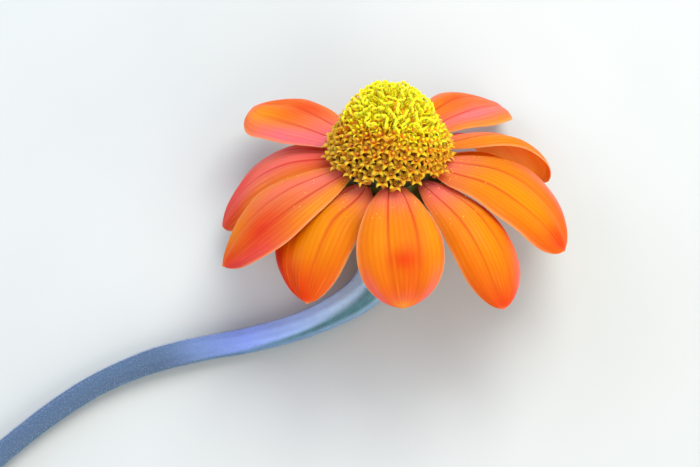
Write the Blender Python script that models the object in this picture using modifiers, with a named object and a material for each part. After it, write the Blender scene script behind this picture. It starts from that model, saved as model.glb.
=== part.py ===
"""A cut Mexican sunflower, a coneflower-like daisy bloom, lying on a flat surface.

The head leans back on the tips of its rear rays and its curved stem lies along the
surface. Units are metres, +Z is up, and the surface is the plane z = 0.
"""

import math
import random

import bmesh
import bpy
import numpy as np
from mathutils import Matrix, Vector

MM = 0.001
MERGE_DISTANCE = 0.002 * MM
SHARP_ANGLE = math.radians(50.0)

# The head's own frame has its origin in the middle of the ring of outermost florets,
# +X to the right, +Y towards the back and +Z along the axis of the disc.
HEAD_CENTRE = Vector((31.6, 30.45, 27.0)) * MM
HEAD_LEAN = math.radians(40.0)
HEAD_FRAME = Matrix.Translation(HEAD_CENTRE) @ Matrix.Rotation(-HEAD_LEAN, 4, "X")

# Disc florets stand on a domed receptacle. Lengths are in millimetres from here on.
DOME_POWER = 1.35            # over 1 draws the dome's flanks in towards a cone
CORE_RADIUS = 11.0
CORE_SHOULDER_Z = 0.7
CORE_HEIGHT = 10.9           # of the dome above its shoulder
CORE_FOOT_RADIUS = 9.4
CORE_FOOT_Z = -0.2
CORE_SIDES = 18
CORE_STEPS = 5
FLORET_COUNT = 140
FLORET_SEED = 11
FLORET_SIZES = (0.92, 1.06)
FLORET_LOBES = 5
FLORET_ROOTS = 3             # sides of the sunk end of a floret
FLORET_RING_RADIUS = 12.6    # the mouths of the florets lie on a dome of this size
FLORET_RING_HEIGHT = 13.1
FLORET_LOWEST = math.radians(15.0)
FLORET_UPRIGHT = (0.34, 0.1)  # from the dome's normal to its axis, at its rim and its top
FLORET_TUBE_RADIUS = 0.55
FLORET_NOTCH_RADIUS = 0.8
FLORET_STAR_RADIUS = 1.22
FLORET_STAR_RISE = 0.45
FLORET_THROAT_DEPTH = 0.9
FLORET_LENGTH = 2.6          # from the lobes down to the root, which is inside the core
BUD_ABOVE = math.radians(44.0)  # from here up they still hold their curled styles
BUD_RADIUS = 0.85
BUD_SHOULDER = 0.55          # its widest ring and its tip stand so far above the dome
BUD_RISE = 1.2
GOLDEN_ANGLE = math.radians(137.508)

# Ray florets are convex blades with two shallow grooves along them.
RAY_THICKNESS = 0.7
RAY_ROOT_RADIUS = 9.3
RAY_ROOT_UPPER_Z = -1.7
RAY_ROOT_LOWER_Z = -3.0
RAY_ROWS = 12
RAY_COLUMNS = 7
RAY_TIP_WIDTH = 0.5          # half of the blunt end of the blade
RAY_SWELL_POWER = 1.15       # how slowly it widens from its root
RAY_ROLL_EASE = 0.6          # shares of its length over which a value comes in
RAY_ARCH_EASE = 0.5
RAY_LEAN_EASE = 0.4
RAY_GROOVE_DEPTH = 0.25
RAY_GROOVE_PERIOD = 3.0
RAY_GROOVE_EASE = (0.25, 0.125)  # from the root and from the tip
RAY_PATH_STEPS = 300
RAY_REST_HEIGHT = 0.38       # middle of a blade that is pressed on the surface
RAY_REST_SOFTNESS = 0.6
RAY_REST_REACH = 8.0         # times the softness, above which nothing is bent

# The green cup under the head, as (radius, z) from the top down, with a ring of pointed
# bracts.
CUP_OUTLINE = (
    (0.0, -0.6),
    (8.5, -0.6),             # the boss that fills the middle under the disc
    (8.5, -5.6),
    (10.6, -5.6),            # the shelf that the rays stand over
    (11.2, -5.8),
    (10.6, -6.2),
    (8.6, -7.6),
    (6.2, -9.2),
    (4.7, -10.0),
    (0.0, -10.0),
)
CUP_SIDES = 24
BRACT_COUNT = 12
BRACT_SEED = 5
BRACT_SIZES = (0.9, 1.05)
BRACT_ROWS = 4
BRACT_COLUMNS = 3
BRACT_ROOT_RADIUS = 7.0
BRACT_ROOT_Z = -9.0
BRACT_RISE = 1.7
BRACT_REACH = 8.8
BRACT_WIDTH = 6.0
BRACT_TIP_WIDTH = 0.7
BRACT_SWELL = (0.25, 0.95)   # its half width follows this stretch of a half sine
BRACT_KEEL = 0.17            # how far its sides stand up, as a share of half its width
BRACT_THICKNESS = 0.8

# The stem: x, y and z of its line relative to the middle of the head, and its radius.
# Where z is None it lies on the surface.
STEM_BEVEL_RESOLUTION = 4
STEM_SIDES = 12              # that such a bevel gives
STEM_STEPS_PER_SPAN = 2
STEM_TOP_Z = -10.4           # along the axis of the head, 0.4 mm under the cup
STEM_LINE = (
    (0.0, -11.0, -13.1, 4.5),
    (-0.5, -16.2, -17.8, 4.4),
    (-1.9, -20.8, -20.8, 4.2),
    (-5.2, -25.4, -22.8, 3.85),
    (-10.8, -29.1, None, 3.4),
    (-19.1, -32.8, None, 3.0),
    (-30.0, -35.8, None, 2.8),
    (-40.8, -37.8, None, 2.7),
    (-51.6, -40.6, None, 2.6),
    (-62.3, -45.2, None, 2.5),
    (-71.0, -50.7, None, 2.45),
    (-79.2, -57.1, None, 2.4),
    (-87.0, -64.0, None, 2.4),
    (-94.0, -71.5, None, 2.35),
    (-99.5, -79.5, None, 2.35),
)
STEM_TOP_RADIUS = 4.6
STEM_CLEAR = 0.04            # between the stem and the surface

# One entry for each ray floret. Azimuth is where it leaves the head, in degrees from
# +X towards the back, and it turns by sweep along its length. Rise and fall are the
# slopes at its two ends. Roll lifts its left edge and arch bends it across. Lean moves
# its middle line to one side, as a share of half its width, and lift moves its root.
# Root is the width there as a share of the widest place.
RAYS = {
    "back_left": dict(azimuth=145, sweep=-4, length=27.7, width=18.8, rise=12, fall=-18,
                      widest=0.66, tip=2.4, lift=0.15, upper=True),
    "left": dict(azimuth=169, sweep=12, length=36.8, width=22.0, rise=6, fall=-78,
                 lean=-0.15, lift=-0.4),
    "left_front": dict(azimuth=209, sweep=-14, length=35.4, width=18.0, rise=2,
                       fall=-62, round=1.5, upper=True),
    "front_left": dict(azimuth=237, sweep=6, length=29.8, width=18.2, rise=-1, fall=-66,
                       lean=-0.42, lift=-0.15, widest=0.52, tip=2.2, round=1.8),
    "front": dict(azimuth=274, sweep=2, length=28.7, width=18.3, rise=-4, fall=-64,
                  tip=2.3, lean=0.03, upper=True),
    "front_right": dict(azimuth=315, sweep=-17, length=34.0, width=15.2, rise=1,
                        fall=-64, lean=0.2, lift=-0.25, widest=0.59, tip=2.1),
    "right_front": dict(azimuth=344, sweep=-8, length=35.3, width=19.6, rise=4.5,
                        fall=-59.5, tip=2.5, lean=0.28, lift=0.12, root=0.42, upper=True),
    "right": dict(azimuth=8, sweep=-10, length=33.8, width=19.0, rise=5, fall=-58,
                  lift=-0.8, root=0.26),
    "right_back": dict(azimuth=26, sweep=-5, length=36.6, width=15.0, rise=22, fall=-82,
                       roll=-44, arch_root=0.4, arch=1.0, widest=0.68, lift=-0.95,
                       root=0.2, upper=True),
    "back_right": dict(azimuth=51.5, sweep=-7, length=32.9, width=18.0, rise=22, fall=-48.5,
                       round=1.3, lift=0.5, root=0.3, lean=-0.16, upper=True),
    "back_first": dict(azimuth=80, sweep=0, length=22.5, width=15.0, rise=-2, fall=-60,
                       lift=-0.7),
    "back_second": dict(azimuth=110, sweep=0, length=23.3, width=15.0, rise=4,
                        fall=-66, roll=-16, lift=0.45),
}
RAY_DEFAULTS = dict(roll=0, lean=0.0, lift=0.0, root=0.34, widest=0.58, tip=2.0,
                    round=1.9, upper=False)
RAY_UPPER_ARCH = dict(arch_root=0.35, arch=0.32)
RAY_LOWER_ARCH = dict(arch_root=0.4, arch=0.65)

# Base colours, linear RGB.
GOLD = (0.80, 0.47, 0.03)
ORANGE = (0.86, 0.19, 0.02)
LEAF_GREEN = (0.09, 0.16, 0.05)
STEM_GREEN = (0.20, 0.32, 0.22)


def clear_scene():
    """Remove everything the file starts with."""
    for obj in list(bpy.data.objects):
        bpy.data.objects.remove(obj, do_unlink=True)
    for mesh in list(bpy.data.meshes):
        bpy.data.meshes.remove(mesh)
    for collection in list(bpy.data.collections):
        bpy.data.collections.remove(collection)


def new_collection(name):
    """Add a collection to the scene."""
    collection = bpy.data.collections.new(name)
    bpy.context.scene.collection.children.link(collection)
    return collection


def new_material(name, colour, roughness):
    """Make a plain material with one Principled shader."""
    material = bpy.data.materials.new(name)
    material.use_nodes = True
    shader = material.node_tree.nodes["Principled BSDF"]
    shader.inputs["Base Color"].default_value = (*colour, 1.0)
    shader.inputs["Roughness"].default_value = roughness
    material.diffuse_color = (*colour, 1.0)
    return material


def new_object(name, points, edges, faces, material, collection):
    """Make a mesh object from points in metres with edges or faces."""
    mesh = bpy.data.meshes.new(name)
    mesh.from_pydata([tuple(point) for point in points], edges, faces)
    mesh.materials.append(material)
    mesh.update()
    obj = bpy.data.objects.new(name, mesh)
    collection.objects.link(obj)
    return obj


def apply_modifiers(obj):
    """Replace the object's mesh with what its modifiers make of it."""
    graph = bpy.context.evaluated_depsgraph_get()
    made = bpy.data.meshes.new_from_object(obj.evaluated_get(graph))
    before = obj.data
    obj.modifiers.clear()
    obj.data = made
    bpy.data.meshes.remove(before)


def tidy_mesh(obj, smooth):
    """Merge doubled points, split faces into triangles and turn them outward."""
    work = bmesh.new()
    work.from_mesh(obj.data)
    bmesh.ops.remove_doubles(work, verts=work.verts, dist=MERGE_DISTANCE)
    bmesh.ops.triangulate(work, faces=work.faces, quad_method="FIXED")
    bmesh.ops.recalc_face_normals(work, faces=work.faces)
    work.to_mesh(obj.data)
    work.free()
    if smooth:
        obj.data.shade_smooth()
        obj.data.set_sharp_from_angle(angle=SHARP_ANGLE)


def fuse(base, pieces):
    """Join a body and a collection of overlapping pieces into one body."""
    joint = base.modifiers.new("fuse", "BOOLEAN")
    joint.operation = "UNION"
    joint.operand_type = "COLLECTION"
    joint.collection = pieces
    joint.solver = "EXACT"
    apply_modifiers(base)
    for piece in list(pieces.objects):
        mesh = piece.data
        bpy.data.objects.remove(piece, do_unlink=True)
        bpy.data.meshes.remove(mesh)


def head_to_world(points):
    """Move points in millimetres from the head's frame to the world, in metres."""
    frame = np.array(HEAD_FRAME)
    return np.asarray(points) * MM @ frame[:3, :3].T + frame[:3, 3]


def smooth_step(value):
    """Rise from 0 to 1 with level ends."""
    value = np.clip(value, 0.0, 1.0)
    return value * value * (3.0 - 2.0 * value)


def whole_spec(spec):
    """A ray floret's entry with the values that it leaves out."""
    arch = RAY_UPPER_ARCH if spec.get("upper") else RAY_LOWER_ARCH
    return {**RAY_DEFAULTS, **arch, **spec}


def ray_half_width(along, spec):
    """Half the width of a ray floret at shares of its length."""
    widest = spec["widest"]
    rise = np.sin(np.clip(along / widest, 0.0, 1.0) * math.pi / 2) ** RAY_SWELL_POWER
    grown = spec["root"] + (1.0 - spec["root"]) * rise
    past = np.clip((along - widest) / (1.0 - widest), 0.0, 1.0)
    narrowed = (1.0 - past ** spec["tip"]) ** (1.0 / spec["round"])
    return np.maximum(spec["width"] / 2 * grown * narrowed, RAY_TIP_WIDTH)


def ray_line(along, spec):
    """Points, directions and side directions of a ray floret's middle line."""
    fine = np.linspace(0.0, 1.0, RAY_PATH_STEPS)
    slope = np.radians(spec["rise"] + (spec["fall"] - spec["rise"]) * fine)
    turn = np.radians(spec["azimuth"] + spec["sweep"] * fine)
    heading = np.stack([np.cos(slope) * np.cos(turn), np.cos(slope) * np.sin(turn),
                        np.sin(slope)], axis=1)
    path = np.cumsum(heading, axis=0) * spec["length"] / RAY_PATH_STEPS
    start = math.radians(spec["azimuth"])
    root_z = RAY_ROOT_UPPER_Z if spec["upper"] else RAY_ROOT_LOWER_Z
    path += np.array([RAY_ROOT_RADIUS * math.cos(start),
                      RAY_ROOT_RADIUS * math.sin(start), root_z + spec["lift"]])
    sideways = np.stack([-np.sin(turn), np.cos(turn), np.zeros_like(turn)], axis=1)

    def at(values):
        return np.stack([np.interp(along, fine, column) for column in values.T], axis=1)

    return at(path), at(heading), at(sideways)


def ray_points(spec):
    """The grid of points of a ray floret, rows by columns, in the head's frame."""
    along = np.sin(np.linspace(0.0, math.pi / 2, RAY_ROWS))
    across = np.linspace(-1.0, 1.0, RAY_COLUMNS)
    middle, heading, sideways = ray_line(along, spec)
    normal = np.cross(heading, sideways)
    roll = np.radians(spec["roll"]) * smooth_step(along / RAY_ROLL_EASE)[:, None]
    side = sideways * np.cos(roll) + normal * np.sin(roll)
    up = normal * np.cos(roll) - sideways * np.sin(roll)
    half = ray_half_width(along, spec)[:, None]
    arching = smooth_step(along / RAY_ARCH_EASE)[:, None]
    bend = spec["arch_root"] + (spec["arch"] - spec["arch_root"]) * arching
    shift = spec["lean"] * smooth_step(along / RAY_LEAN_EASE)[:, None]
    out = (np.sin(bend * across) / bend + shift) * half
    down = (1.0 - np.cos(bend * across)) / bend * half
    groove = (1.0 - np.cos(RAY_GROOVE_PERIOD * math.pi * across)) / 2
    from_root, from_tip = RAY_GROOVE_EASE
    fade = smooth_step(along / from_root) * smooth_step((1.0 - along) / from_tip)
    down = down + RAY_GROOVE_DEPTH * groove * fade[:, None]
    return middle[:, None] + out[..., None] * side[:, None] - down[..., None] * up[:, None]


def rest_on_surface(points):
    """Press points that would go under the surface onto it, with a soft bend."""
    softness = RAY_REST_SOFTNESS * MM
    above = points[..., 2] - RAY_REST_HEIGHT * MM
    pressed = softness * np.logaddexp(0.0, above / softness)
    points[..., 2] = np.where(above > RAY_REST_REACH * softness, points[..., 2],
                              pressed + RAY_REST_HEIGHT * MM)
    return points


def new_blade(name, grid, thickness, material, collection):
    """A closed blade: a grid of points, rows by columns, given its thickness.

    Each square is split into triangles by the side of the middle line it lies on.
    """
    rows, columns = grid.shape[:2]
    faces = []
    for row in range(rows - 1):
        for column in range(columns - 1):
            a = row * columns + column
            b = a + 1
            c = a + columns + 1
            d = a + columns
            if column < columns // 2:
                faces += [(a, b, c), (a, c, d)]
            else:
                faces += [(a, b, d), (b, c, d)]
    obj = new_object(name, grid.reshape(-1, 3), [], faces, material, collection)
    wall = obj.modifiers.new("thickness", "SOLIDIFY")
    wall.thickness = thickness * MM
    wall.offset = 0.0
    apply_modifiers(obj)
    tidy_mesh(obj, smooth=True)
    return obj


def build_ray(name, spec, material, collection):
    """One ray floret, bent by its formula and rested on the surface."""
    points = rest_on_surface(head_to_world(ray_points(whole_spec(spec))))
    return new_blade(name, points, RAY_THICKNESS, material, collection)


def turned_body(name, outline, sides, material, collection):
    """A closed body: a profile of (radius, z), from the top down, turned round the axis."""
    points = [(radius * MM, 0.0, height * MM) for radius, height in outline]
    edges = [(step, step + 1) for step in range(len(points) - 1)]
    obj = new_object(name, points, edges, [], material, collection)
    turn = obj.modifiers.new("turn", "SCREW")
    turn.angle = math.tau
    turn.steps = sides
    turn.render_steps = sides
    turn.use_merge_vertices = True
    turn.merge_threshold = MERGE_DISTANCE
    apply_modifiers(obj)
    obj.data.transform(HEAD_FRAME)
    return obj


def place(points, spot, direction, spin):
    """Stand points made round +Z at a spot, with +Z along a direction."""
    stand = Vector(direction).to_track_quat("Z", "Y").to_matrix()
    turn = np.array(stand @ Matrix.Rotation(spin, 3, "Z"))
    return np.asarray(points) @ turn.T + np.asarray(spot)


def ring(radius, count, heights):
    """Points round +Z at one radius, or at two radii and heights in turn."""
    points = []
    for step in range(count):
        angle = math.tau * step / count
        out = radius[step % len(radius)]
        points.append((out * math.cos(angle), out * math.sin(angle),
                       heights[step % len(heights)]))
    return points


def floret_shape(is_bud, size):
    """An open five-lobed floret or a knobby young one, on a three-sided root."""
    points = ring([FLORET_TUBE_RADIUS * size], FLORET_ROOTS, [-FLORET_LENGTH])
    if is_bud:
        rim = ring([BUD_RADIUS * size], FLORET_LOBES, [BUD_SHOULDER])
        middle = BUD_RISE
    else:
        rim = ring([FLORET_STAR_RADIUS * size, FLORET_NOTCH_RADIUS * size],
                   2 * FLORET_LOBES, [0.0, -FLORET_STAR_RISE])
        middle = -FLORET_THROAT_DEPTH
    points += rim
    points.append((0.0, 0.0, middle))
    count = len(rim)
    roots = [round((step + 0.5) / count * FLORET_ROOTS) % FLORET_ROOTS
             for step in range(count)]
    faces = [tuple(range(FLORET_ROOTS))[::-1]]
    for step in range(count):
        here = FLORET_ROOTS + step
        after = FLORET_ROOTS + (step + 1) % count
        faces.append((here, after, FLORET_ROOTS + count))
        faces.append((roots[step], after, here))
        if roots[step] != roots[step - 1]:
            faces.append((roots[step - 1], roots[step], here))
    return points, faces


def floret_seat(index):
    """The place and outward direction of a floret in the golden-angle spiral."""
    low = math.sin(FLORET_LOWEST)
    level = math.asin(low + (1.0 - low) * (index + 0.5) / FLORET_COUNT)
    around = index * GOLDEN_ANGLE
    out = FLORET_RING_RADIUS * math.cos(level)
    height = FLORET_RING_HEIGHT * math.sin(level) ** DOME_POWER
    steep = (FLORET_RING_HEIGHT * DOME_POWER * math.cos(level)
             * math.sin(level) ** (DOME_POWER - 1.0))
    spot = Vector((out * math.cos(around), out * math.sin(around), height))
    normal = Vector((steep * math.cos(around), steep * math.sin(around),
                     FLORET_RING_RADIUS * math.sin(level))).normalized()
    rim, top = FLORET_UPRIGHT
    upright = rim + (top - rim) * height / FLORET_RING_HEIGHT
    normal = normal.lerp(Vector((0.0, 0.0, 1.0)), upright).normalized()
    return level, spot, normal


def build_disc(material, collection, cutters):
    """The domed receptacle and its florets, joined into one body."""
    outline = []
    for step in range(CORE_STEPS + 1):
        angle = math.pi / 2 * (1 - step / CORE_STEPS)
        outline.append((CORE_RADIUS * math.cos(angle),
                        CORE_SHOULDER_Z + CORE_HEIGHT * math.sin(angle) ** DOME_POWER))
    outline += [(CORE_FOOT_RADIUS, CORE_FOOT_Z), (0.0, CORE_FOOT_Z)]
    disc = turned_body("disc_florets", outline, CORE_SIDES, material, collection)
    rng = random.Random(FLORET_SEED)
    for index in range(FLORET_COUNT):
        level, spot, normal = floret_seat(index)
        points, faces = floret_shape(level > BUD_ABOVE, rng.uniform(*FLORET_SIZES))
        world = head_to_world(place(points, spot, normal, rng.uniform(0.0, math.tau)))
        new_object(f"floret_{index:03d}", world, [], faces, material, cutters)
    fuse(disc, cutters)
    tidy_mesh(disc, smooth=False)
    return disc


def bract_points(around, size):
    """The grid of points of a bract, from inside the cup to its tip past the rim."""
    share = np.linspace(0.0, 1.0, BRACT_ROWS)[:, None]
    across = np.linspace(-1.0, 1.0, BRACT_COLUMNS)
    start, end = BRACT_SWELL
    swell = np.sin(math.pi * (start + (end - start) * share))
    side = across * np.maximum(BRACT_WIDTH * swell, BRACT_TIP_WIDTH) / 2
    out = BRACT_ROOT_RADIUS + BRACT_REACH * size * share
    height = BRACT_ROOT_Z + BRACT_RISE * share + BRACT_KEEL * np.abs(side)
    return np.stack([out * math.cos(around) - side * math.sin(around),
                     out * math.sin(around) + side * math.cos(around), height], axis=-1)


def build_involucre(material, collection, cutters):
    """The green cup that carries the head, with its ring of bracts."""
    cup = turned_body("involucre", CUP_OUTLINE, CUP_SIDES, material, collection)
    rng = random.Random(BRACT_SEED)
    for index in range(BRACT_COUNT):
        around = math.tau * (index + 0.5) / BRACT_COUNT
        points = head_to_world(bract_points(around, rng.uniform(*BRACT_SIZES)))
        new_blade(f"bract_{index:02d}", points, BRACT_THICKNESS, material, cutters)
    fuse(cup, cutters)
    tidy_mesh(cup, smooth=True)
    return cup


def stem_line():
    """Centre points and radii along the stem, from the head to the cut end."""
    apothem = math.cos(math.pi / STEM_SIDES)
    axis = Vector((0.0, math.sin(HEAD_LEAN), math.cos(HEAD_LEAN)))
    top = axis * STEM_TOP_Z
    knots = [(*top, STEM_TOP_RADIUS)]
    for x, y, z, radius in STEM_LINE:
        if z is None:
            z = radius * apothem + STEM_CLEAR - HEAD_CENTRE.z / MM
        knots.append((x, y, z, radius))
    knots = np.array(knots)
    before = 2 * knots[0] - knots[1]
    beyond = 2 * knots[-1] - knots[-2]
    knots = np.vstack([before, knots, beyond])
    line = []
    for span in range(1, len(knots) - 2):
        p0, p1, p2, p3 = knots[span - 1:span + 3]
        for step in range(STEM_STEPS_PER_SPAN):
            t = step / STEM_STEPS_PER_SPAN
            line.append(0.5 * (2 * p1 + (p2 - p0) * t
                               + (2 * p0 - 5 * p1 + 4 * p2 - p3) * t ** 2
                               + (3 * p1 - p0 - 3 * p2 + p3) * t ** 3))
    line.append(knots[-2])
    return np.array(line)


def mesh_from_curve(curve_object, collection):
    """Replace a curve object by a mesh object of the same name and shape."""
    graph = bpy.context.evaluated_depsgraph_get()
    mesh = bpy.data.meshes.new_from_object(curve_object.evaluated_get(graph))
    name = curve_object.name
    place_in_world = curve_object.matrix_world.copy()
    curve = curve_object.data
    bpy.data.objects.remove(curve_object, do_unlink=True)
    bpy.data.curves.remove(curve)
    obj = bpy.data.objects.new(name, mesh)
    obj.matrix_world = place_in_world
    collection.objects.link(obj)
    return obj


def build_stem(material, collection):
    """A solid stem: a bevelled curve from its cut end up to the flared neck."""
    line = stem_line()[::-1]
    curve = bpy.data.curves.new("stem", "CURVE")
    curve.dimensions = "3D"
    curve.twist_mode = "Z_UP"
    curve.bevel_depth = MM
    curve.bevel_resolution = STEM_BEVEL_RESOLUTION
    curve.use_fill_caps = True
    curve.materials.append(material)
    spline = curve.splines.new("POLY")
    spline.points.add(len(line) - 1)
    for point, (x, y, z, radius) in zip(spline.points, line):
        point.co = (x * MM, y * MM, z * MM, 1.0)
        point.radius = radius
        point.tilt = math.pi / STEM_SIDES      # a flat of the section faces down
    stem = bpy.data.objects.new("stem", curve)
    stem.location = HEAD_CENTRE
    collection.objects.link(stem)
    bpy.context.view_layer.update()
    stem = mesh_from_curve(stem, collection)
    tidy_mesh(stem, smooth=True)
    return stem


def main():
    clear_scene()
    flower = new_collection("mexican_sunflower")
    cutters = new_collection("cutters")
    gold = new_material("floret_gold", GOLD, 0.6)
    orange = new_material("ray_orange", ORANGE, 0.5)
    leaf_green = new_material("bract_green", LEAF_GREEN, 0.6)
    stem_green = new_material("stem_green", STEM_GREEN, 0.7)
    build_stem(stem_green, flower)
    build_involucre(leaf_green, flower, cutters)
    build_disc(gold, flower, cutters)
    for name, spec in RAYS.items():
        build_ray(f"ray_{name}", spec, orange, flower)


main()
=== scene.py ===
import math

import bpy
import numpy as np
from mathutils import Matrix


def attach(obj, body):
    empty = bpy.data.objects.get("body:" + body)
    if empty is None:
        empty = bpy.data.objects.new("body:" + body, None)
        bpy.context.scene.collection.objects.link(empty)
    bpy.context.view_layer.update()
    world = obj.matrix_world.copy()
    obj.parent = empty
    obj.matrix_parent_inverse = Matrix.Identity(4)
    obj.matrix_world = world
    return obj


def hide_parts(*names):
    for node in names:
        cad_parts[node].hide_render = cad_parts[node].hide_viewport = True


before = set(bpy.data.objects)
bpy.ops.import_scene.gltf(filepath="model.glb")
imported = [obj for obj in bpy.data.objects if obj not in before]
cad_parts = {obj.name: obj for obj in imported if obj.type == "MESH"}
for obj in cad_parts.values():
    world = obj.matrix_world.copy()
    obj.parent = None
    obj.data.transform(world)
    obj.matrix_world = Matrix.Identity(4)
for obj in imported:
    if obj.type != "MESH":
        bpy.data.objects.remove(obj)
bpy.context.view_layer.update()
mm = 0.001
goldenAngle = math.radians(137.508)
print("frame:", len(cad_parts), "solids")

# The head's own frame: its middle is amid the outermost florets, z is the dome's axis.
head = {
    "centre": (31.6, 30.45, 27.0),
    "lean": 40.0,                # degrees that the axis leans back
}


# world = points turned by the lean about x, then moved to the head's centre, in metres
def toWorld(points):
    c = math.cos(math.radians(head["lean"]))
    s = math.sin(math.radians(head["lean"]))
    turn = np.array(((1, 0, 0), (0, c, s), (0, -s, c)))
    return (points @ turn.T + np.array(head["centre"])) * mm


# 3v^2 - 2v^3 for v held between 0 and 1
def ease(value):
    value = np.clip(value, 0.0, 1.0)
    return value * value * (3.0 - 2.0 * value)


# start + (end - start) * share
def between(start, end, share):
    return start + (end - start) * share


# the sum of strength * e^-((along-a)/l)^2 * e^-((across-c)/w)^2 over the spots
def softSpots(along, across, spots):
    total = np.zeros(np.broadcast(along, across).shape)
    for a, c, length, width, strength in spots:
        total += strength * np.exp(-((along - a) / length) ** 2 - ((across - c) / width) ** 2)
    return total


# faces between rings of points that follow each other, each ring closed on itself
def ringFaces(rings, count):
    low = np.arange(rings - 1)[:, None] * count
    here = np.arange(count)[None, :]
    after = (here + 1) % count
    faces = np.stack([low + here, low + after, low + count + after, low + count + here], -1)
    return faces.reshape(-1, 4)


# triangles from a ring's edges to one point
def fanFaces(first, count, tip, back=False):
    here = first + np.arange(count)
    after = first + (np.arange(count) + 1) % count
    pair = (after, here) if back else (here, after)
    return np.stack([*pair, np.full(count, tip)], -1)


# the skin of rings that close on two end points kept after them, foot then tip, or the
# other way round
def closedFaces(rings, sides, tipFirst=False):
    count = rings * sides
    foot, tip = (count + 1, count) if tipFirst else (count, count + 1)
    return [ringFaces(rings, sides), fanFaces(0, sides, foot, back=True),
            fanFaces(count - sides, sides, tip)]


# vectors over their lengths
def unit(vectors):
    return vectors / np.maximum(np.linalg.norm(vectors, axis=-1, keepdims=True), 1e-9)


# (r cos angle, r sin angle, z): points turned round the axis; the three broadcast
def aroundAxis(r, z, angle):
    return np.stack(np.broadcast_arrays(r * np.cos(angle), r * np.sin(angle), z), -1)


# rows of points times this matrix are turned by the angle round the axis
def turnMatrix(angle):
    c, s = math.cos(angle), math.sin(angle)
    return np.array(((c, s, 0), (-s, c, 0), (0, 0, 1)))


# the two sides of a thin blade as rings: over its upper side and back along its lower
def laidRound(upper, lower):
    return np.concatenate([upper, lower[:, -2:0:-1]], 1)


# six volumes = sum of a . (b x c) over the triangles; a negative sum is inside out
def facingOut(points, faces):
    volume = 0.0
    for block in faces:
        for step in range(1, block.shape[1] - 1):
            a, b, c = (points[block[:, i]] for i in (0, step, step + 1))
            volume += np.einsum("ij,ij->", a, np.cross(b, c))
    return [block[:, ::-1] for block in faces] if volume < 0 else faces


# the same faces again for each of several copies of a shape with so many points
def repeatFaces(faces, copies, points):
    step = np.arange(copies)[:, None, None] * points
    return [(block[None] + step).reshape(-1, block.shape[1]) for block in faces]


# one piece: world points, blocks of faces, a material, and values kept at each point
def makePiece(name, points, faces, material, mapName="surface", uv=None, smooth=True,
              **values):
    mesh = bpy.data.meshes.new(name)
    mesh.from_pydata(points.tolist(), [], [face for block in faces for face in block.tolist()])
    if uv is not None:
        corner = np.empty(len(mesh.loops), np.int32)
        mesh.loops.foreach_get("vertex_index", corner)
        layer = mesh.uv_layers.new(name=mapName)
        layer.uv.foreach_set("vector", uv[corner].astype(np.float32).ravel())
    for key, value in values.items():
        store = mesh.attributes.new(key, "FLOAT", "POINT")
        store.data.foreach_set("value", np.asarray(value, np.float32).ravel())
    mesh.polygons.foreach_set("use_smooth", np.full(len(mesh.polygons), smooth))
    mesh.materials.append(material)
    mesh.update()
    piece = bpy.data.objects.new(name, mesh)
    bpy.context.scene.collection.objects.link(piece)
    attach(piece, "root")
    return piece


# sRGB hex to the linear colour that shaders take
def colour(code):
    parts = [int(code[i:i + 2], 16) / 255 for i in (1, 3, 5)]
    linear = [p / 12.92 if p <= 0.04045 else ((p + 0.055) / 1.055) ** 2.4 for p in parts]
    return (*linear, 1.0)


# one node with its settings, giving its output out; an input that is given a socket is
# linked to it, others are set
def addNode(tree, kind, inputs=None, out=0, stops=None, **settings):
    node = tree.nodes.new("ShaderNode" + kind)
    for key, value in settings.items():
        setattr(node, key, value)
    for key, value in (inputs or {}).items():
        if isinstance(value, bpy.types.NodeSocket):
            tree.links.new(value, node.inputs[key])
        else:
            node.inputs[key].default_value = value
    if stops:
        ramp = node.color_ramp.elements
        while len(ramp) < len(stops):
            ramp.new(0.5)
        for element, (at, code) in zip(ramp, stops):
            element.position = at
            element.color = colour(code)
    return node.outputs[out]


# a material with one Principled shader, whose plain inputs are set on its own sockets
def newMaterial(name, **inputs):
    material = bpy.data.materials.new(name)
    material.use_nodes = True
    tree = material.node_tree
    shader = tree.nodes["Principled BSDF"]
    for key, value in inputs.items():
        shader.inputs[key].default_value = value
    return material, tree, shader


# Camera: level with the picture's right, looking down on the flower as the photo looks
# at its head.
camera = {
    "place": (23.4, -82.35, 419.5),
    "tilt": 13.6,                # degrees off straight down
    "lens": 100.0,
    "sensor": 36.0,
    "clip": (0.02, 20.0),        # metres
}
lens = bpy.data.cameras.new("camera")
lens.lens = camera["lens"]
lens.sensor_width = camera["sensor"]
lens.clip_start, lens.clip_end = camera["clip"]
eye = bpy.data.objects.new("camera", lens)
eye.location = np.array(camera["place"]) * mm
eye.rotation_euler = (math.radians(camera["tilt"]), 0.0, 0.0)
bpy.context.scene.collection.objects.link(eye)
bpy.context.scene.camera = eye
print("camera ready")


# Ray florets. The epidermis of a petal is a satin skin of tiny rounded cells over thin
# wet tissue: it glows where light comes through, and its bloom turns pink at a slant. Into
# its colours are also painted light and shade: pink sheen, glow, shadow in the creases and
# under neighbours, and highlights along the edges.
rayLooks = {
    "root": "#CC563A",
    "low": "#CE6A2A",
    "middle": "#CE7204",
    "upper": "#CE6604",
    "tip": "#CC580E",
    "gold": "#D68804",
    # blush: real red patches, and painted shadow where edges lie under a neighbour
    "blushAndShadow": "#CC3008",
    # rose: painted pink sheen
    "roseSheen": "#E06A72",
    "vein": "#C83E0A",
    "ridge": "#E8962C",
    # crease: painted shade in the two creases
    "creaseShade": "#C02014",
    # under: the underside's colour, brightened as a painted glow of light through the petal
    "under": "#FF9410",
    # rim: a pale rim, the petal's own thin margin with a painted highlight along its edges
    "rim": "#EE9A70",
    "streakWidth": 2.4,          # mm, of the slow streaks between groups of veins
}


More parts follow.
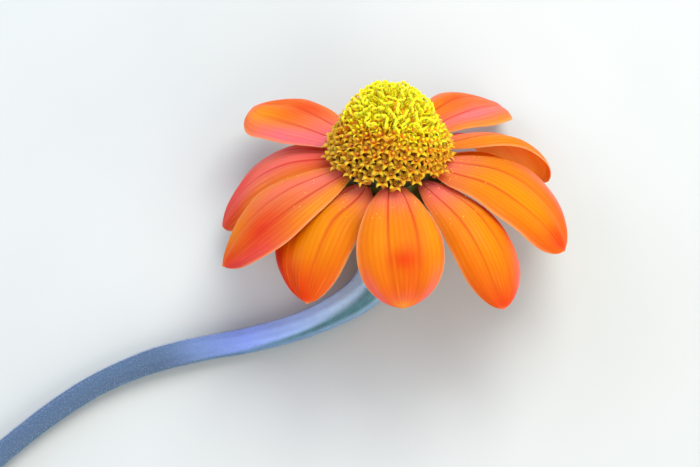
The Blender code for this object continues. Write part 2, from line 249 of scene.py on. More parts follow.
# a ramp along the petal, moved by its slow streaks; over it each colour is laid in turn
# by its own share, colour = between(colour, laid, share)
def rayMaterial():
    look = rayLooks
    material, tree, shader = newMaterial("petal_epidermis_and_painted_light", **{
        "Roughness": 0.5, "IOR": 1.4, "Specular IOR Level": 0.1,
        "Subsurface Weight": 0.85, "Subsurface Radius": (1.0, 0.4, 0.06),
        "Subsurface Scale": 1.5 * mm, "Sheen Weight": 0.02, "Sheen Roughness": 0.45,
        "Sheen Tint": colour("#FFA090")})
    surface = addNode(tree, "UVMap", uv_map="surface")
    lane = addNode(tree, "SeparateXYZ", {0: surface})
    along = lane.node.outputs["Y"]
    told = {key: addNode(tree, "Attribute", out="Fac", attribute_name=key)
            for key in ("blushAndShadow", "roseSheen", "gold", "under", "rim", "seed", "vein")}

    # slow streaks and short dashes both run with the lanes, which close up at the ends
    streaks = []
    for width, length, detail in ((look["streakWidth"], 1.4, 2.0), (0.5, 5.0, 3.0)):
        acrossIt = addNode(tree, "Math", {0: lane, 1: 18.0 / width}, operation="MULTIPLY")
        alongIt = addNode(tree, "Math", {0: along, 1: length}, operation="MULTIPLY")
        where = addNode(tree, "CombineXYZ", {0: acrossIt, 1: alongIt, 2: told["seed"]})
        streaks.append(addNode(tree, "TexNoise", {"Vector": where, "Scale": 1.0,
                                                  "Detail": detail}))
    slow, dash = streaks
    place = addNode(tree, "TexCoord", out="Object")
    cloud = addNode(tree, "TexNoise", {"Vector": place, "Scale": 110.0, "Detail": 3.0})

    shifted = addNode(tree, "Math", {0: slow, 1: 0.3, 2: along}, operation="MULTIPLY_ADD")
    base = addNode(tree, "ValToRGB", {"Fac": shifted}, stops=(
        (0.15, look["root"]), (0.28, look["low"]), (0.45, look["middle"]),
        (0.82, look["upper"]), (1.0, look["tip"])))

    # veins: a darker line in each furrow and a lighter one on each ridge, both broken up
    wave = addNode(tree, "Math", {0: told["vein"]}, operation="COSINE")
    line = addNode(tree, "MapRange", {0: wave, 1: -0.35, 2: -0.95, 3: 0.0, 4: 0.42})
    line = addNode(tree, "Math", {0: line, 1: slow}, operation="MULTIPLY")
    ridge = addNode(tree, "MapRange", {0: wave, 1: 0.1, 2: 0.9, 3: 0.0, 4: 1.0})
    broken = addNode(tree, "MapRange", {0: dash, 1: 0.46, 2: 0.66, 3: 0.0, 4: 0.3})
    ridge = addNode(tree, "Math", {0: ridge, 1: broken}, operation="MULTIPLY")
    grouped = addNode(tree, "MapRange", {0: slow, 1: 0.42, 2: 0.6, 3: 0.25, 4: 1.25})
    ridge = addNode(tree, "Math", {0: ridge, 1: grouped}, operation="MULTIPLY")

    # two creases at a third and two thirds of the width, painted dark red as the shade in them,
    # broad near the root
    creases = []
    for third in (1 / 3, 2 / 3):
        off = addNode(tree, "Math", {0: lane, 1: third}, operation="SUBTRACT")
        off = addNode(tree, "Math", {0: off}, operation="ABSOLUTE")
        creases.append(addNode(tree, "MapRange", {0: off, 1: 0.034, 2: 0.004, 3: 0.0, 4: 0.9},
                               interpolation_type="SMOOTHSTEP"))
    fading = addNode(tree, "MapRange", {0: along, 1: 0.14, 2: 0.75, 3: 1.0, 4: 0.2})
    creaseShade = addNode(tree, "Math", {0: creases[0], 1: creases[1]}, operation="ADD")
    creaseShade = addNode(tree, "Math", {0: creaseShade, 1: fading}, operation="MULTIPLY")

    golden = addNode(tree, "Math", {0: told["gold"], 1: 1.1}, operation="MULTIPLY")
    # red patches broken by a cloud; some of them are painted shadow along edges under a neighbour
    red = addNode(tree, "Math", {0: cloud, 1: 0.55}, operation="ADD")
    red = addNode(tree, "Math", {0: told["blushAndShadow"], 1: red}, operation="MULTIPLY")
    # the underside's bright colour, a painted glow, also laid on upper sides where glow is set
    undersideGlow = addNode(tree, "Math", {0: told["under"], 1: 0.8}, operation="MULTIPLY")
    for share, code in ((golden, "gold"), (red, "blushAndShadow"), (told["roseSheen"], "roseSheen"),
                        (line, "vein"), (ridge, "ridge"), (creaseShade, "creaseShade"),
                        (undersideGlow, "under"), (told["rim"], "rim")):
        base = addNode(tree, "Mix", {0: share, 6: base, 7: colour(look[code])}, out=2,
                       data_type="RGBA")
    tree.links.new(base, shader.inputs["Base Color"])

    rough = addNode(tree, "MapRange", {0: cloud, 1: 0.3, 2: 0.7, 3: 0.42, 4: 0.56})
    tree.links.new(rough, shader.inputs["Roughness"])
    # skin cells, drawn about 0.25 mm wide though real ones are finer
    cells = addNode(tree, "TexVoronoi", {"Vector": place, "Scale": 4000.0})
    height = addNode(tree, "Math", {0: cells, 1: 0.25, 2: dash}, operation="MULTIPLY_ADD")
    bump = addNode(tree, "Bump", {"Height": height, "Strength": 0.35, "Distance": 0.06 * mm})
    tree.links.new(bump, shader.inputs["Normal"])
    return material


# One entry for each ray floret. Azimuth is where it leaves the head, in degrees from
# +x towards the back; it turns by sweep along its length. Rise and fall are the slopes
# at its ends, roll lifts its left edge, arch bends it across, lean and lift shift it.
# Grooves are the places of its two creases across it. Blush, gold and rose are soft
# spots of colour as (along, across, length, width, strength): the blush is real red patches
# and painted shadow, deep red strips along edges that lie under a neighbour, and the rose is
# painted pink sheen. Glow is the share of the underside's bright colour, a painted glow of
# light through the petal, that is laid on its upper side too, where it lies under a neighbour.
rays = {
    "back_left": dict(azimuth=145, sweep=-4, length=27.7, width=18.8, rise=12, fall=-18,
                      widest=0.66, tip=2.4, lift=0.15, upper=True,
                      blushAndShadow=((0.55, -0.5, 0.25, 0.5, 0.7),),
                      gold=((0.85, 0.3, 0.2, 0.5, 0.8),),
                      roseSheen=((0.15, 0.2, 0.25, 0.9, 0.9), (0.45, 0.85, 0.35, 0.35, 0.9),
                            (1.0, 0.0, 0.06, 0.9, 0.6))),
    "left": dict(azimuth=169, sweep=12, length=36.8, width=22.0, rise=6, fall=-78,
                 lean=-0.15, lift=-0.4, grooves=(-0.42, 0.2),
                 blushAndShadow=((0.85, -0.4, 0.4, 0.7, 0.95), (0.96, 0.2, 0.25, 0.9, 1.0),
                        (0.12, 0.0, 0.2, 0.9, 0.7)),
                 gold=((0.35, 0.9, 0.35, 0.15, 0.8),),
                 roseSheen=((0.55, -0.45, 0.45, 0.14, 0.8), (0.3, -0.1, 0.25, 0.5, 0.5),
                       (0.6, 0.2, 0.3, 0.3, 0.4))),
    "left_front": dict(azimuth=209, sweep=-14, length=35.4, width=18.0, rise=2, fall=-62,
                       round=1.5, upper=True, grooves=(-0.3, 0.32),
                       blushAndShadow=((0.62, 0.15, 0.16, 0.45, 0.8), (0.85, 0.8, 0.3, 0.5, 0.9),
                              (0.93, 0.0, 0.06, 0.9, 0.5)),
                       gold=((0.3, 0.8, 0.3, 0.25, 0.9), (0.85, -0.6, 0.15, 0.5, 0.5),
                             (0.995, 0.0, 0.02, 0.8, 1.0)),
                       roseSheen=((0.2, 0.0, 0.25, 0.6, 0.55), (0.45, -0.5, 0.2, 0.3, 0.35),
                             (0.8, 0.9, 0.25, 0.3, 0.3))),
    "front_left": dict(azimuth=237, sweep=6, length=29.8, width=18.2, rise=-1, fall=-66,
                       lean=-0.42, lift=-0.15, widest=0.52, tip=2.2, round=1.8,
                       grooves=(-0.36, 0.3),
                       blushAndShadow=((1.0, -0.2, 0.2, 0.9, 1.0), (0.7, -0.95, 0.4, 0.4, 0.95)),
                       gold=((0.45, 0.1, 0.3, 0.7, 0.8),),
                       roseSheen=((0.1, 0.0, 0.12, 0.9, 0.5),)),
    "front": dict(azimuth=274, sweep=2, length=28.7, width=18.3, rise=-4, fall=-64,
                  tip=2.3, lean=0.03, upper=True, grooves=(-0.27, 0.41),
                  blushAndShadow=((0.65, 0.04, 0.08, 0.36, 0.8), (0.5, 0.99, 0.25, 0.07, 0.9)),
                  gold=((0.5, -0.35, 0.3, 0.4, 0.7), (0.45, 0.75, 0.35, 0.3, 0.8),
                        (0.98, 0.0, 0.04, 0.6, 1.0)),
                  roseSheen=((0.1, 0.0, 0.14, 0.9, 0.6), (0.93, 0.0, 0.05, 0.9, 0.2),
                        (0.9, 0.85, 0.15, 0.15, 0.6), (0.9, -0.85, 0.15, 0.15, 0.6))),
    "front_right": dict(azimuth=315, sweep=-17, length=34.0, width=15.2, rise=1,
                        fall=-64, lean=0.2, lift=-0.25, widest=0.59, tip=2.1, grooves=(-0.3, 0.36),
                        blushAndShadow=((0.99, 0.1, 0.08, 0.9, 0.8), (0.42, 0.95, 0.35, 0.25, 1.0)),
                        gold=((0.5, 0.0, 0.3, 0.6, 0.8),),
                        roseSheen=((0.1, 0.1, 0.16, 0.9, 0.8), (0.85, 0.85, 0.15, 0.25, 0.7))),
    "right_front": dict(azimuth=344, sweep=-8, length=35.3, width=19.6, rise=4.5,
                        fall=-59.5, tip=2.5, lean=0.28, lift=0.12, root=0.42, upper=True,
                        grooves=(-0.38, 0.26),
                        blushAndShadow=((0.94, -0.25, 0.1, 0.4, 0.9),),
                        gold=((0.55, -0.2, 0.35, 0.6, 0.8),),
                        roseSheen=((0.12, 0.1, 0.14, 0.8, 0.4), (0.75, 0.9, 0.25, 0.25, 0.6))),
    "right": dict(azimuth=8, sweep=-10, length=33.8, width=19.0, rise=5, fall=-58,
                  lift=-0.8, root=0.26, paintedGlow=0.9),
    "right_back": dict(azimuth=26, sweep=-5, length=36.6, width=15.0, rise=22, fall=-82,
                       roll=-44, arch=(0.4, 1.0), widest=0.68, lift=-0.95, root=0.2,
                       upper=True, gold=((0.35, -0.7, 0.3, 0.5, 0.5),),
                       roseSheen=((0.35, 0.5, 0.5, 0.7, 0.9), (0.8, 0.3, 0.3, 0.4, 0.6))),
    "back_right": dict(azimuth=51.5, sweep=-7, length=32.9, width=18.0, rise=22, fall=-48.5,
                       round=1.3, lift=0.5, root=0.3, lean=-0.16, upper=True,
                       blushAndShadow=((0.55, 0.2, 0.25, 0.5, 0.5),),
                       gold=((0.4, -0.95, 0.4, 0.2, 0.9),),
                       roseSheen=((0.4, -0.5, 0.35, 0.3, 1.0), (0.95, 0.0, 0.15, 0.9, 0.7),
                             (0.6, 0.95, 0.4, 0.2, 0.6))),
    "back_first": dict(azimuth=80, sweep=0, length=22.5, width=15.0, rise=-2, fall=-60,
                       lift=-0.7, blushAndShadow=((0.8, 0.4, 0.3, 0.6, 0.7),),
                       gold=((0.5, -0.3, 0.3, 0.6, 0.7),), roseSheen=((0.2, 0.2, 0.25, 0.8, 0.7),)),
    "back_second": dict(azimuth=110, sweep=0, length=23.3, width=15.0, rise=4,
                        fall=-66, roll=-16, lift=0.45, blushAndShadow=((0.6, -0.4, 0.3, 0.5, 0.6),),
                        gold=((0.5, 0.4, 0.35, 0.5, 0.7),), roseSheen=((0.2, 0.0, 0.25, 0.8, 0.7),)),
}
rayCommon = dict(roll=0, lean=0.0, lift=0.0, root=0.34, widest=0.58, tip=2.0, round=1.9,
                 upper=False, grooves=(-0.33, 0.33), paintedGlow=0.0, blushAndShadow=(), gold=(), roseSheen=())
creaseLanes = (-1 / 3, 1 / 3)      # where the creases and the grooves lie across a blade
rayForm = {
    "thickness": 0.42,           # in the middle; it thins to its rim
    "rootRadius": 9.3,
    "upperRoot": -1.7,
    "lowerRoot": -3.0,
    "upperArch": (0.35, 0.32),   # bend across at the root and beyond
    "lowerArch": (0.4, 0.65),
    "swellPower": 1.15,
    "claw": 0.32,                # share of the width at the very root
    "shoulder": 6.0,             # mm from the root to where the full width is reached
    "rollEase": 0.6,             # shares of the length over which a value comes in
    "archEase": 0.5,
    "leanEase": 0.4,
    "grooveDepth": 0.25,
    "grooveEase": (0.25, 0.125),
    "creaseDepth": 0.14,
    "creaseWidth": 0.03,         # of half the width
    "creaseTip": 0.35,           # of the crease's depth that is left at the tip
    "veins": 17,
    "veinHeight": 0.013,
    "nub": (0.55, 0.42),         # length and half width of the point at the tip
    "nubShare": 0.6,             # of it that stands past the blade's end
    "veinSway": (0.8, 2.2),      # radians, and half turns in the length
    "waves": 0.16,               # of the blade's slow unevenness
    "slowWaves": ((1.0, 2.6, 2.0), (0.7, 4.3, -3.1)),  # size, half turns, radians across
    "edgeWave": 5.2,             # half turns
    "waveShares": (0.5, 0.9),    # of the slow waves and of the edge's
    "crowding": 0.6,             # of the columns towards the rims
    "rimWidth": (0.03, 0.01),    # shares of the half width and the length
    "restHeight": 0.26,
    "restSoftness": 0.6,
    "rows": 104,
    "columns": 96,
}


# half the width: the root's share grows as a quarter sine to the widest place, and past
# it narrows as (1 - t^tip)^(1/round), to nothing at the tip; the claw has a round shoulder,
# and a half ellipse at the very tip is its nub
def rayHalfWidth(along, ray):
    grown = np.sin(np.clip(along / ray["widest"], 0, 1) * math.pi / 2) ** rayForm["swellPower"]
    nubLong, nubHalf = rayForm["nub"]
    end = 1 - rayForm["nubShare"] * nubLong / ray["length"]
    past = np.clip((along - ray["widest"]) / (end - ray["widest"]), 0, 1)
    narrowed = np.maximum(1 - past ** ray["tip"], 0) ** (1 / ray["round"])
    short = 1 - np.clip(along * ray["length"] / rayForm["shoulder"], 0, 1)
    shouldered = between(rayForm["claw"], 1.0, np.sqrt(1 - short ** 2))
    half = ray["width"] / 2 * between(ray["root"], 1.0, grown) * narrowed * shouldered
    inNub = np.clip(1 - (1 - along) * ray["length"] / nubLong, 0, 1)
    return np.maximum(half, nubHalf * np.sqrt(1 - inNub ** 2) * (inNub > 0))


# the middle line: the sum of steps whose slope and azimuth change evenly on the way
def rayLine(along, ray):
    fine = np.linspace(0, 1, 300)
    slope = np.radians(between(ray["rise"], ray["fall"], fine))
    turn = np.radians(ray["azimuth"] + ray["sweep"] * fine)
    heading = aroundAxis(np.cos(slope), np.sin(slope), turn)
    path = np.cumsum(heading, 0) * ray["length"] / len(fine)
    rootZ = rayForm["upperRoot"] if ray["upper"] else rayForm["lowerRoot"]
    path += aroundAxis(rayForm["rootRadius"], rootZ + ray["lift"], turn[0])
    sideways = np.stack([-np.sin(turn), np.cos(turn), np.zeros(len(fine))], 1)
    return [np.stack([np.interp(along, fine, column) for column in track.T], 1)
            for track in (path, heading, sideways)]


# the blade's middle surface: out = sin(bend * across) / bend and down = (1 - cos) / bend
# of half the width, with two broad grooves, two narrow creases, veins and slow waves
def raySurface(along, across, lane, ray, seed):
    form = rayForm
    middle, heading, sideways = rayLine(along, ray)
    normal = np.cross(heading, sideways)
    roll = np.radians(ray["roll"]) * ease(along / form["rollEase"])[:, None]
    side = sideways * np.cos(roll) + normal * np.sin(roll)
    up = normal * np.cos(roll) - sideways * np.sin(roll)
    row = along[:, None]
    half = rayHalfWidth(along, ray)[:, None]
    usual = form["upperArch"] if ray["upper"] else form["lowerArch"]
    bend = between(*ray.get("arch", usual), ease(row / form["archEase"]))
    shift = ray["lean"] * ease(row / form["leanEase"])
    fromRoot, fromTip = form["grooveEase"]
    fade = ease(row / fromRoot) * ease((1 - row) / fromTip)
    rng = np.random.default_rng(seed)
    phase = rng.uniform(0, math.tau, 6)
    out = (np.sin(bend * across) / bend + shift) * half
    down = (1 - np.cos(bend * across)) / bend * half
    down = down + form["grooveDepth"] * (1 - np.cos(3 * math.pi * lane)) / 2 * fade
    for place in creaseLanes:
        cut = np.exp(-((lane - place) / form["creaseWidth"]) ** 2)
        down = down + form["creaseDepth"] * cut * fade * between(1.0, form["creaseTip"], row)
    sway, turns = form["veinSway"]
    vein = math.pi * form["veins"] * lane + sway * np.sin(turns * row * math.pi + phase[0])
    down = down - form["veinHeight"] * np.cos(vein) * fade
    slow = sum(size * np.sin(turns * row * math.pi + skew * lane + start)
               for (size, turns, skew), start in zip(form["slowWaves"], phase[1:]))
    edge = np.abs(across) ** 3 * np.sin(form["edgeWave"] * row * math.pi + np.sign(across)
                                        + phase[3])
    inside, rim = form["waveShares"]
    down = down + form["waves"] * (inside * slow + rim * edge) * fade
    surface = middle[:, None] + out[..., None] * side[:, None] - down[..., None] * up[:, None]
    return surface, vein


# height = rest + s * ln(1 + e^((z - rest) / s)): points near the table bend level on it
def restOnTable(points, rest, softness):
    above = (points[..., 2] / mm - rest) / softness
    lifted = rest + softness * np.logaddexp(0, above)
    points[..., 2] = np.where(above > 8, points[..., 2], lifted * mm)
    return points


# a closed blade: the middle surface moved half the thickness along its normal, up on
# the way from one rim to the other and down on the way back
def buildRay(name, ray, seed, material):
    form = rayForm
    rows, columns = form["rows"], form["columns"]
    along = np.sin(np.linspace(0, math.pi / 2, rows))
    t = np.linspace(-1, 1, columns)
    across = between(t, np.sin(t * math.pi / 2), form["crowding"])[None, :]
    lane = np.interp(across, (-1, *ray["grooves"], 1), (-1, *creaseLanes, 1))
    surface, vein = raySurface(along, across, lane, ray, seed)
    surface = restOnTable(toWorld(surface), form["restHeight"], form["restSoftness"]) / mm
    normal = np.cross(np.gradient(surface, axis=0), np.gradient(surface, axis=1))
    normal[-1] = normal[-2]
    normal = unit(normal)
    row = along[:, None]
    rimRound = np.sqrt(np.maximum(1 - np.abs(across) ** 10, 0))
    tipRound = np.sqrt(np.maximum(1 - row ** 60, 0))
    offset = (form["thickness"] / 2 * rimRound * tipRound)[..., None] * normal
    whole = laidRound(surface + offset, surface - offset)
    rings, ring = rows - 1, whole.shape[1]
    points = np.vstack([whole[:rings].reshape(-1, 3), whole[0].mean(0), whole[rings].mean(0)])

    def spread(values):  # a value on the grid, laid round the rings and on both ends
        values = np.broadcast_to(values, (rows, columns))
        return np.append(laidRound(values, values)[:rings].ravel(),
                         [values[0].mean(), values[-1].mean()])

    # the underside, and the share of its painted glow that is laid on the upper side too
    under = np.append(np.tile(np.arange(ring) >= columns, rings), [0, 0])
    # painted highlight along the rims and the tip, over the petal's own pale margin
    acrossRim, tipRim = form["rimWidth"]
    rimHighlight = np.maximum(np.exp(-(1 - np.abs(across)) / acrossRim), np.exp(-(1 - row) / tipRim))
    piece = makePiece(
        "petal_" + name, points * mm, facingOut(points, closedFaces(rings, ring)), material,
        uv=np.stack([(spread(lane) + 1) / 2, spread(row)], 1),
        **{key: spread(softSpots(row, across, ray[key])) for key in ("blushAndShadow", "gold", "roseSheen")},
        rim=spread(rimHighlight), under=np.maximum(under, ray["paintedGlow"]),
        seed=np.full(len(points), seed * 3.7), vein=spread(vein))
    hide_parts("ray_" + name)
    return surface + offset, normal


epidermis = rayMaterial()
blades = {name: buildRay(name, {**rayCommon, **ray}, number + 1, epidermis)
          for number, (name, ray) in enumerate(rays.items())}
print("petals:", len(blades))


# Disc florets. Each is a waxy golden tube that opens in five pointed lobes, round a
# column of anthers. Those near the top still hold their styles, which end in two rings.
disc = {
    "ringRadius": 12.9,          # the mouths lie on a dome of this radius and height
    "ringHeight": 13.1,
    "ringPower": 1.35,           # over 1 draws the dome's flanks in towards a cone
    "lowest": 3.0,               # degrees
    "spacing": (2.5, 2.0),       # mm between neighbours at the rim and near the top
    "packing": 0.87,             # area of a seat over its spacing squared, as in a honeycomb
    "upright": (0.62, 0.1),      # how far they turn from the dome's normal to its axis
    "size": (1.04, 1.26),
    "throat": 0.64,              # radius
    "lobeLength": 1.35,
    "lobeHalf": 0.54,
    "lobeDepth": 0.2,
    "lobeSunk": 0.3,
    "lobeSlopes": ((96.0, 66.0), (140.0, -62.0)),  # at throat and tip, shut and open
    "tintSpread": 0.06,
    "leanSpread": 0.14,
    "open": (0.92, 0.52),        # at the rim and near the top, with a spread
    "openSpread": 0.1,
    "openFade": (0.45, 0.4),     # share of the way up where they close, and over which
    "openLimits": (0.1, 1.15),
    "stylesFrom": (0.62, 0.86),  # shares of the way up where florets with rings begin
    "stylesShare": (0.02, 0.98),  # of the florets, below and above
    "budsAbove": 0.9,
    "rightFlankLight": 0.4,                # how much lighter and more lemon its right flank is painted, as painted light
    "seed": 11,
}


# the dome's profile: r = R cos t, z = H sin(t)^p, with its normal (dz/dt, -dr/dt)
def domeProfile(t):
    radius, height, power = disc["ringRadius"], disc["ringHeight"], disc["ringPower"]
    r = radius * np.cos(t)
    z = height * np.sin(t) ** power
    normal = np.stack([height * power * np.sin(t) ** (power - 1) * np.cos(t),
                       radius * np.sin(t)], -1)
    return r, z, unit(normal)


# seats fill the dome's area from the rim up, closer to each other towards the top, each
# turned from the last by the golden angle
def floretSeats():
    t = np.linspace(math.radians(disc["lowest"]), math.pi / 2, 600)
    r, z, normal = domeProfile(t)
    steps = np.hypot(np.diff(r), np.diff(z))
    apart = between(*disc["spacing"], ease((t - 0.5) / 0.7))[1:]
    filled = np.cumsum(math.tau * r[1:] * steps / (disc["packing"] * apart ** 2))
    count = int(filled[-1])
    index = np.arange(count)
    level = np.interp(index + 0.5, filled, t[1:])
    around = index * goldenAngle
    r, z, normal = domeProfile(level)
    age = z / disc["ringHeight"]
    upright = between(*disc["upright"], age)
    direction = aroundAxis(normal[:, 0], normal[:, 1], around) * (1 - upright)[:, None]
    direction[:, 2] += upright
    return age, aroundAxis(r, z, around), unit(direction)


# three axes for each direction: two across it, turned by spin, and itself
def axesAlong(direction, spin):
    side = unit(np.cross(direction, (0.31, 0.17, 0.93)))
    other = np.cross(direction, side)
    c, s = np.cos(spin)[:, None], np.sin(spin)[:, None]
    return np.stack([side * c + other * s, other * c - side * s, direction], 1)


# copies of shapes, copies x points x 3, stood on their spots along their axes
def standOn(shapes, spots, axes):
    return np.einsum("npk,nkc->npc", shapes, axes) + spots[:, None]


# a turned shape of n sides for each copy: radius and height of each ring, copies x rings
def turnedShapes(radius, height, sides, closedTop, closedFoot):
    copies, rings = radius.shape
    angle = np.arange(sides) * math.tau / sides
    points = aroundAxis(radius[..., None], height[..., None], angle)
    ends = aroundAxis(0.0, np.stack([closedFoot, closedTop], 1), 0.0)
    points = np.concatenate([points.reshape(copies, rings * sides, 3), ends], 1)
    return points, closedFaces(rings, sides)


# a line in its own plane as the running sum of equal steps at these slopes
def slopeLine(slope, step):
    return ((np.cumsum(np.cos(slope), 1) - np.cos(slope)) * step,
            (np.cumsum(np.sin(slope), 1) - np.sin(slope)) * step)


# a floret's lobe: a line whose slope turns from steep at the throat to drooping at the
# tip, with edges half * (1 - u)^0.8 either side, a rounded back over it and a keel under
def lobeShapes(openness, size):
    rows, steps = 5, 60
    copies = len(openness)
    u = np.linspace(0, 1, rows + 1)
    atThroat, atTip = (np.radians(between(*shutToOpen, openness))[:, None]
                       for shutToOpen in disc["lobeSlopes"])
    slope = between(atThroat, atTip, np.linspace(0, 1, steps + 1))
    r, z = slopeLine(slope, disc["lobeLength"] / steps)
    at = np.rint(u * steps).astype(int)
    r, z, tilt = r[:, at] + disc["throat"], z[:, at] - disc["lobeSunk"], slope[:, at]
    half = disc["lobeHalf"] * (1 - u) ** 0.8 * np.ones_like(r)
    level = np.stack([-np.sin(tilt), 0 * r, np.cos(tilt)], -1)
    line = np.stack([r, 0 * r, z], -1)
    sideways = np.stack([0 * r, half, 0 * r], -1)
    thick = (disc["lobeDepth"] * (1 - 0.75 * u))[:, None]
    ring = np.stack([line - sideways, line + 0.35 * thick * level, line + sideways,
                     line - thick * level], 2)[:, :rows]
    one = np.concatenate([ring.reshape(copies, rows * 4, 3), line[:, -1:],
                          ring[:, 0].mean(1)[:, None]], 1)
    along = np.append(np.repeat(u[:rows], 4), [1.0, 0.0])
    shapes = [one @ turnMatrix(lobe * math.tau / 5) for lobe in range(5)]
    return (np.concatenate(shapes, 1) * size[:, None, None],
            closedFaces(rows, 4, tipFirst=True), along)


# a waxy skin with light in it; the map holds the floret's place and a height in it, and
# two ramps along the place are mixed by the height: the first is painted shade, darker and
# oranger low down among the florets, the second their own colour higher up
def discMaterial(name, stops, roughness, sheen):
    material, tree, shader = newMaterial(name, **{
        "Roughness": roughness, "IOR": 1.4, "Specular IOR Level": 0.3, "Subsurface Weight": 0.8,
        "Subsurface Radius": (1.0, 0.45, 0.06), "Subsurface Scale": 2.2 * mm,
        "Sheen Weight": sheen})
    surface = addNode(tree, "UVMap", uv_map="OFBake")
    place = addNode(tree, "SeparateXYZ", {0: surface})
    low, high = (addNode(tree, "ValToRGB", {"Fac": place}, stops=row) for row in stops)
    mixed = addNode(tree, "Mix", {0: place.node.outputs["Y"], 6: low, 7: high}, out=2,
                    data_type="RGBA")
    tree.links.new(mixed, shader.inputs["Base Color"])
    return material


# copies of one closed shape stood on the dome as one piece, with their colours' map
def standPiece(name, shapes, faces, seats, axes, places, shadeHeights, material):
    count = shapes.shape[1]
    each = len(shadeHeights)
    turned = facingOut(shapes[0, :each], faces)
    points = toWorld(standOn(shapes, seats, axes).reshape(-1, 3))
    uv = np.stack([np.repeat(places, count), np.tile(shadeHeights, len(points) // each)], 1)
    piece = makePiece(name, points, repeatFaces(turned, len(points) // each, each), material,
                      mapName="OFBake", uv=uv)
    return piece


age, seat, outward = floretSeats()
florets = len(age)
rng = np.random.default_rng(disc["seed"])
floretSize = rng.uniform(*disc["size"], florets) * between(1.0, 0.86, age)
floretSpin = rng.uniform(0, math.tau, florets)
# painted light: the right flank is moved up the ramp of colours, lighter and more lemon,
# as if lit from the right
rightFlankLight = disc["rightFlankLight"] * np.maximum(seat[:, 0] / disc["ringRadius"], 0)
floretTint = np.clip(age + rightFlankLight + rng.normal(0, disc["tintSpread"], florets), 0, 1)
leaning = unit(outward + rng.normal(0, disc["leanSpread"], outward.shape))
axes = axesAlong(leaning, floretSpin)
begins, over = disc["openFade"]
shut, wide = disc["openLimits"]
openness = (between(*disc["open"], ease((age - begins) / over))
            + rng.normal(0, disc["openSpread"], florets))
openness = np.where(age > disc["budsAbove"], shut, np.clip(openness, shut, wide))

# young wax is lemon, old wax golden; the first ramp is painted shade, orange-brown in the
# throats and low among the florets
corolla = discMaterial("floret_corolla_wax_and_shade", (
    ((0.0, "#B4700E"), (0.3, "#D07C08"), (0.64, "#EE8404"), (0.84, "#FFB408")),
    ((0.0, "#FFBE2C"), (0.35, "#FFB012"), (0.62, "#FF9C04"), (0.8, "#FFF80A"))), 0.38, 0.05)
lobes, faces, along = lobeShapes(openness, floretSize)
# the lobes' roots, low in the throats, take part of the painted shade
piece = standPiece("floret_lobes", lobes, faces, seat, axes, floretTint,
                   between(0.25, 1.0, ease(along / 0.55)), corolla)
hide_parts("disc_florets")

# tubes: rings from the foot up as (radius, height, painted shade from 0, darkest, to 1),
# turned in at the mouth; the foot and the throat are painted darkest as the shade deep
# among the florets
tube = {
    "rings": ((0.36, -2.6, 0.0), (0.52, -1.4, 0.25), (0.72, -0.7, 0.6), (0.7, -0.22, 0.75),
              (0.56, -0.3, 0.1)),
    "throatDepth": 0.95,
    "sides": 8,
}
ones = floretSize[:, None]
radius, height, shade = np.array(tube["rings"]).T
tubes, faces = turnedShapes(ones * radius, ones * height, tube["sides"],
                            -tube["throatDepth"] * floretSize, height[0] * floretSize)
shade = np.append(np.repeat(shade, tube["sides"]), (0.0, 0.0))
standPiece("floret_tubes", tubes, faces, seat, axes, floretTint, shade, corolla)
print("disc florets:", florets)

# Anther columns are dark brown and dry in the old florets at the rim, golden above.
anther = {
    "radius": 0.23,
    "swell": 1.25,               # of the radius near the top of the dome
    "rise": (-0.2, 1.2),         # over the mouth, at the rim and near the top
    "riseSpread": (0.6, 1.3),
    "budRise": 1.3,
    "budSpread": (0.8, 1.2),
    "sunk": 1.0,
    "point": 0.15,
    # from the foot up: share of the radius, share of the rise, and painted shade from 0,
    # darkest at the foot among the florets, to 1 at the top
    "rings": ((0.8, 0.0, 0.0), (1.0, 0.2, 0.2), (1.15, 0.75, 0.8), (0.75, 1.0, 1.0)),
    "sides": 6,
}
rise = (between(*anther["rise"], ease((age - 0.25) / 0.6))
        * rng.uniform(*anther["riseSpread"], florets))
rise = np.where(age > disc["budsAbove"],
                anther["budRise"] * rng.uniform(*anther["budSpread"], florets), rise)
radius, height, shade = np.array(anther["rings"]).T
columnRadius = (anther["radius"] * ones * radius
                * between(1.0, anther["swell"], ease((age - 0.7) / 0.2))[:, None])
columnHeight = rise[:, None] * height
columnHeight[:, 0] = -anther["sunk"]
columns, faces = turnedShapes(columnRadius, columnHeight, anther["sides"],
                              rise + anther["point"], columnHeight[:, 0])
antherCase = discMaterial("anther_case_and_shade", (
    ((0.0, "#2A1606"), (0.3, "#4A2808"), (0.5, "#A8640A"), (0.75, "#F0A80C")),
    ((0.0, "#8A5008"), (0.3, "#C47C08"), (0.5, "#F49E0C"), (0.75, "#FFE81A"))), 0.5, 0.1)
shade = np.append(np.repeat(shade, anther["sides"]), (0.0, 1.0))
standPiece("floret_anthers", columns, faces, seat, axes, floretTint, shade, antherCase)

# Stigmas: two thick branches that leave the style and curl right round into rings.
stigma = {
    "radius": 0.3,               # of a branch
    "radiusSpread": (0.9, 1.15),
    "taper": 0.25,               # of the radius towards the end, which is rounded besides
    "endRound": 0.35,
    "ring": (0.5, 0.62),         # radius of its curl
    "turn": (290.0, 350.0),      # degrees
    "topTurn": (60.0, 200.0),    # of those at the very top, not yet curled
    "longest": 3.9,
    "leanIn": 0.1,               # radians, at a branch's start
    "sunk": 0.1,                 # below the top of the anthers
    "lowSize": 0.85,             # of the rings at the rim, over those at the top
    "topAbove": 0.03,            # further up than where the buds begin
    "apart": 0.06,               # of the two branches, from the style's middle
    "drift": 0.32,               # of a branch's end, out of the plane of its curl
    "twist": 0.3,                # radians, the spread of the branches' turn on the style
    "rows": 14,
    "sides": 5,
}


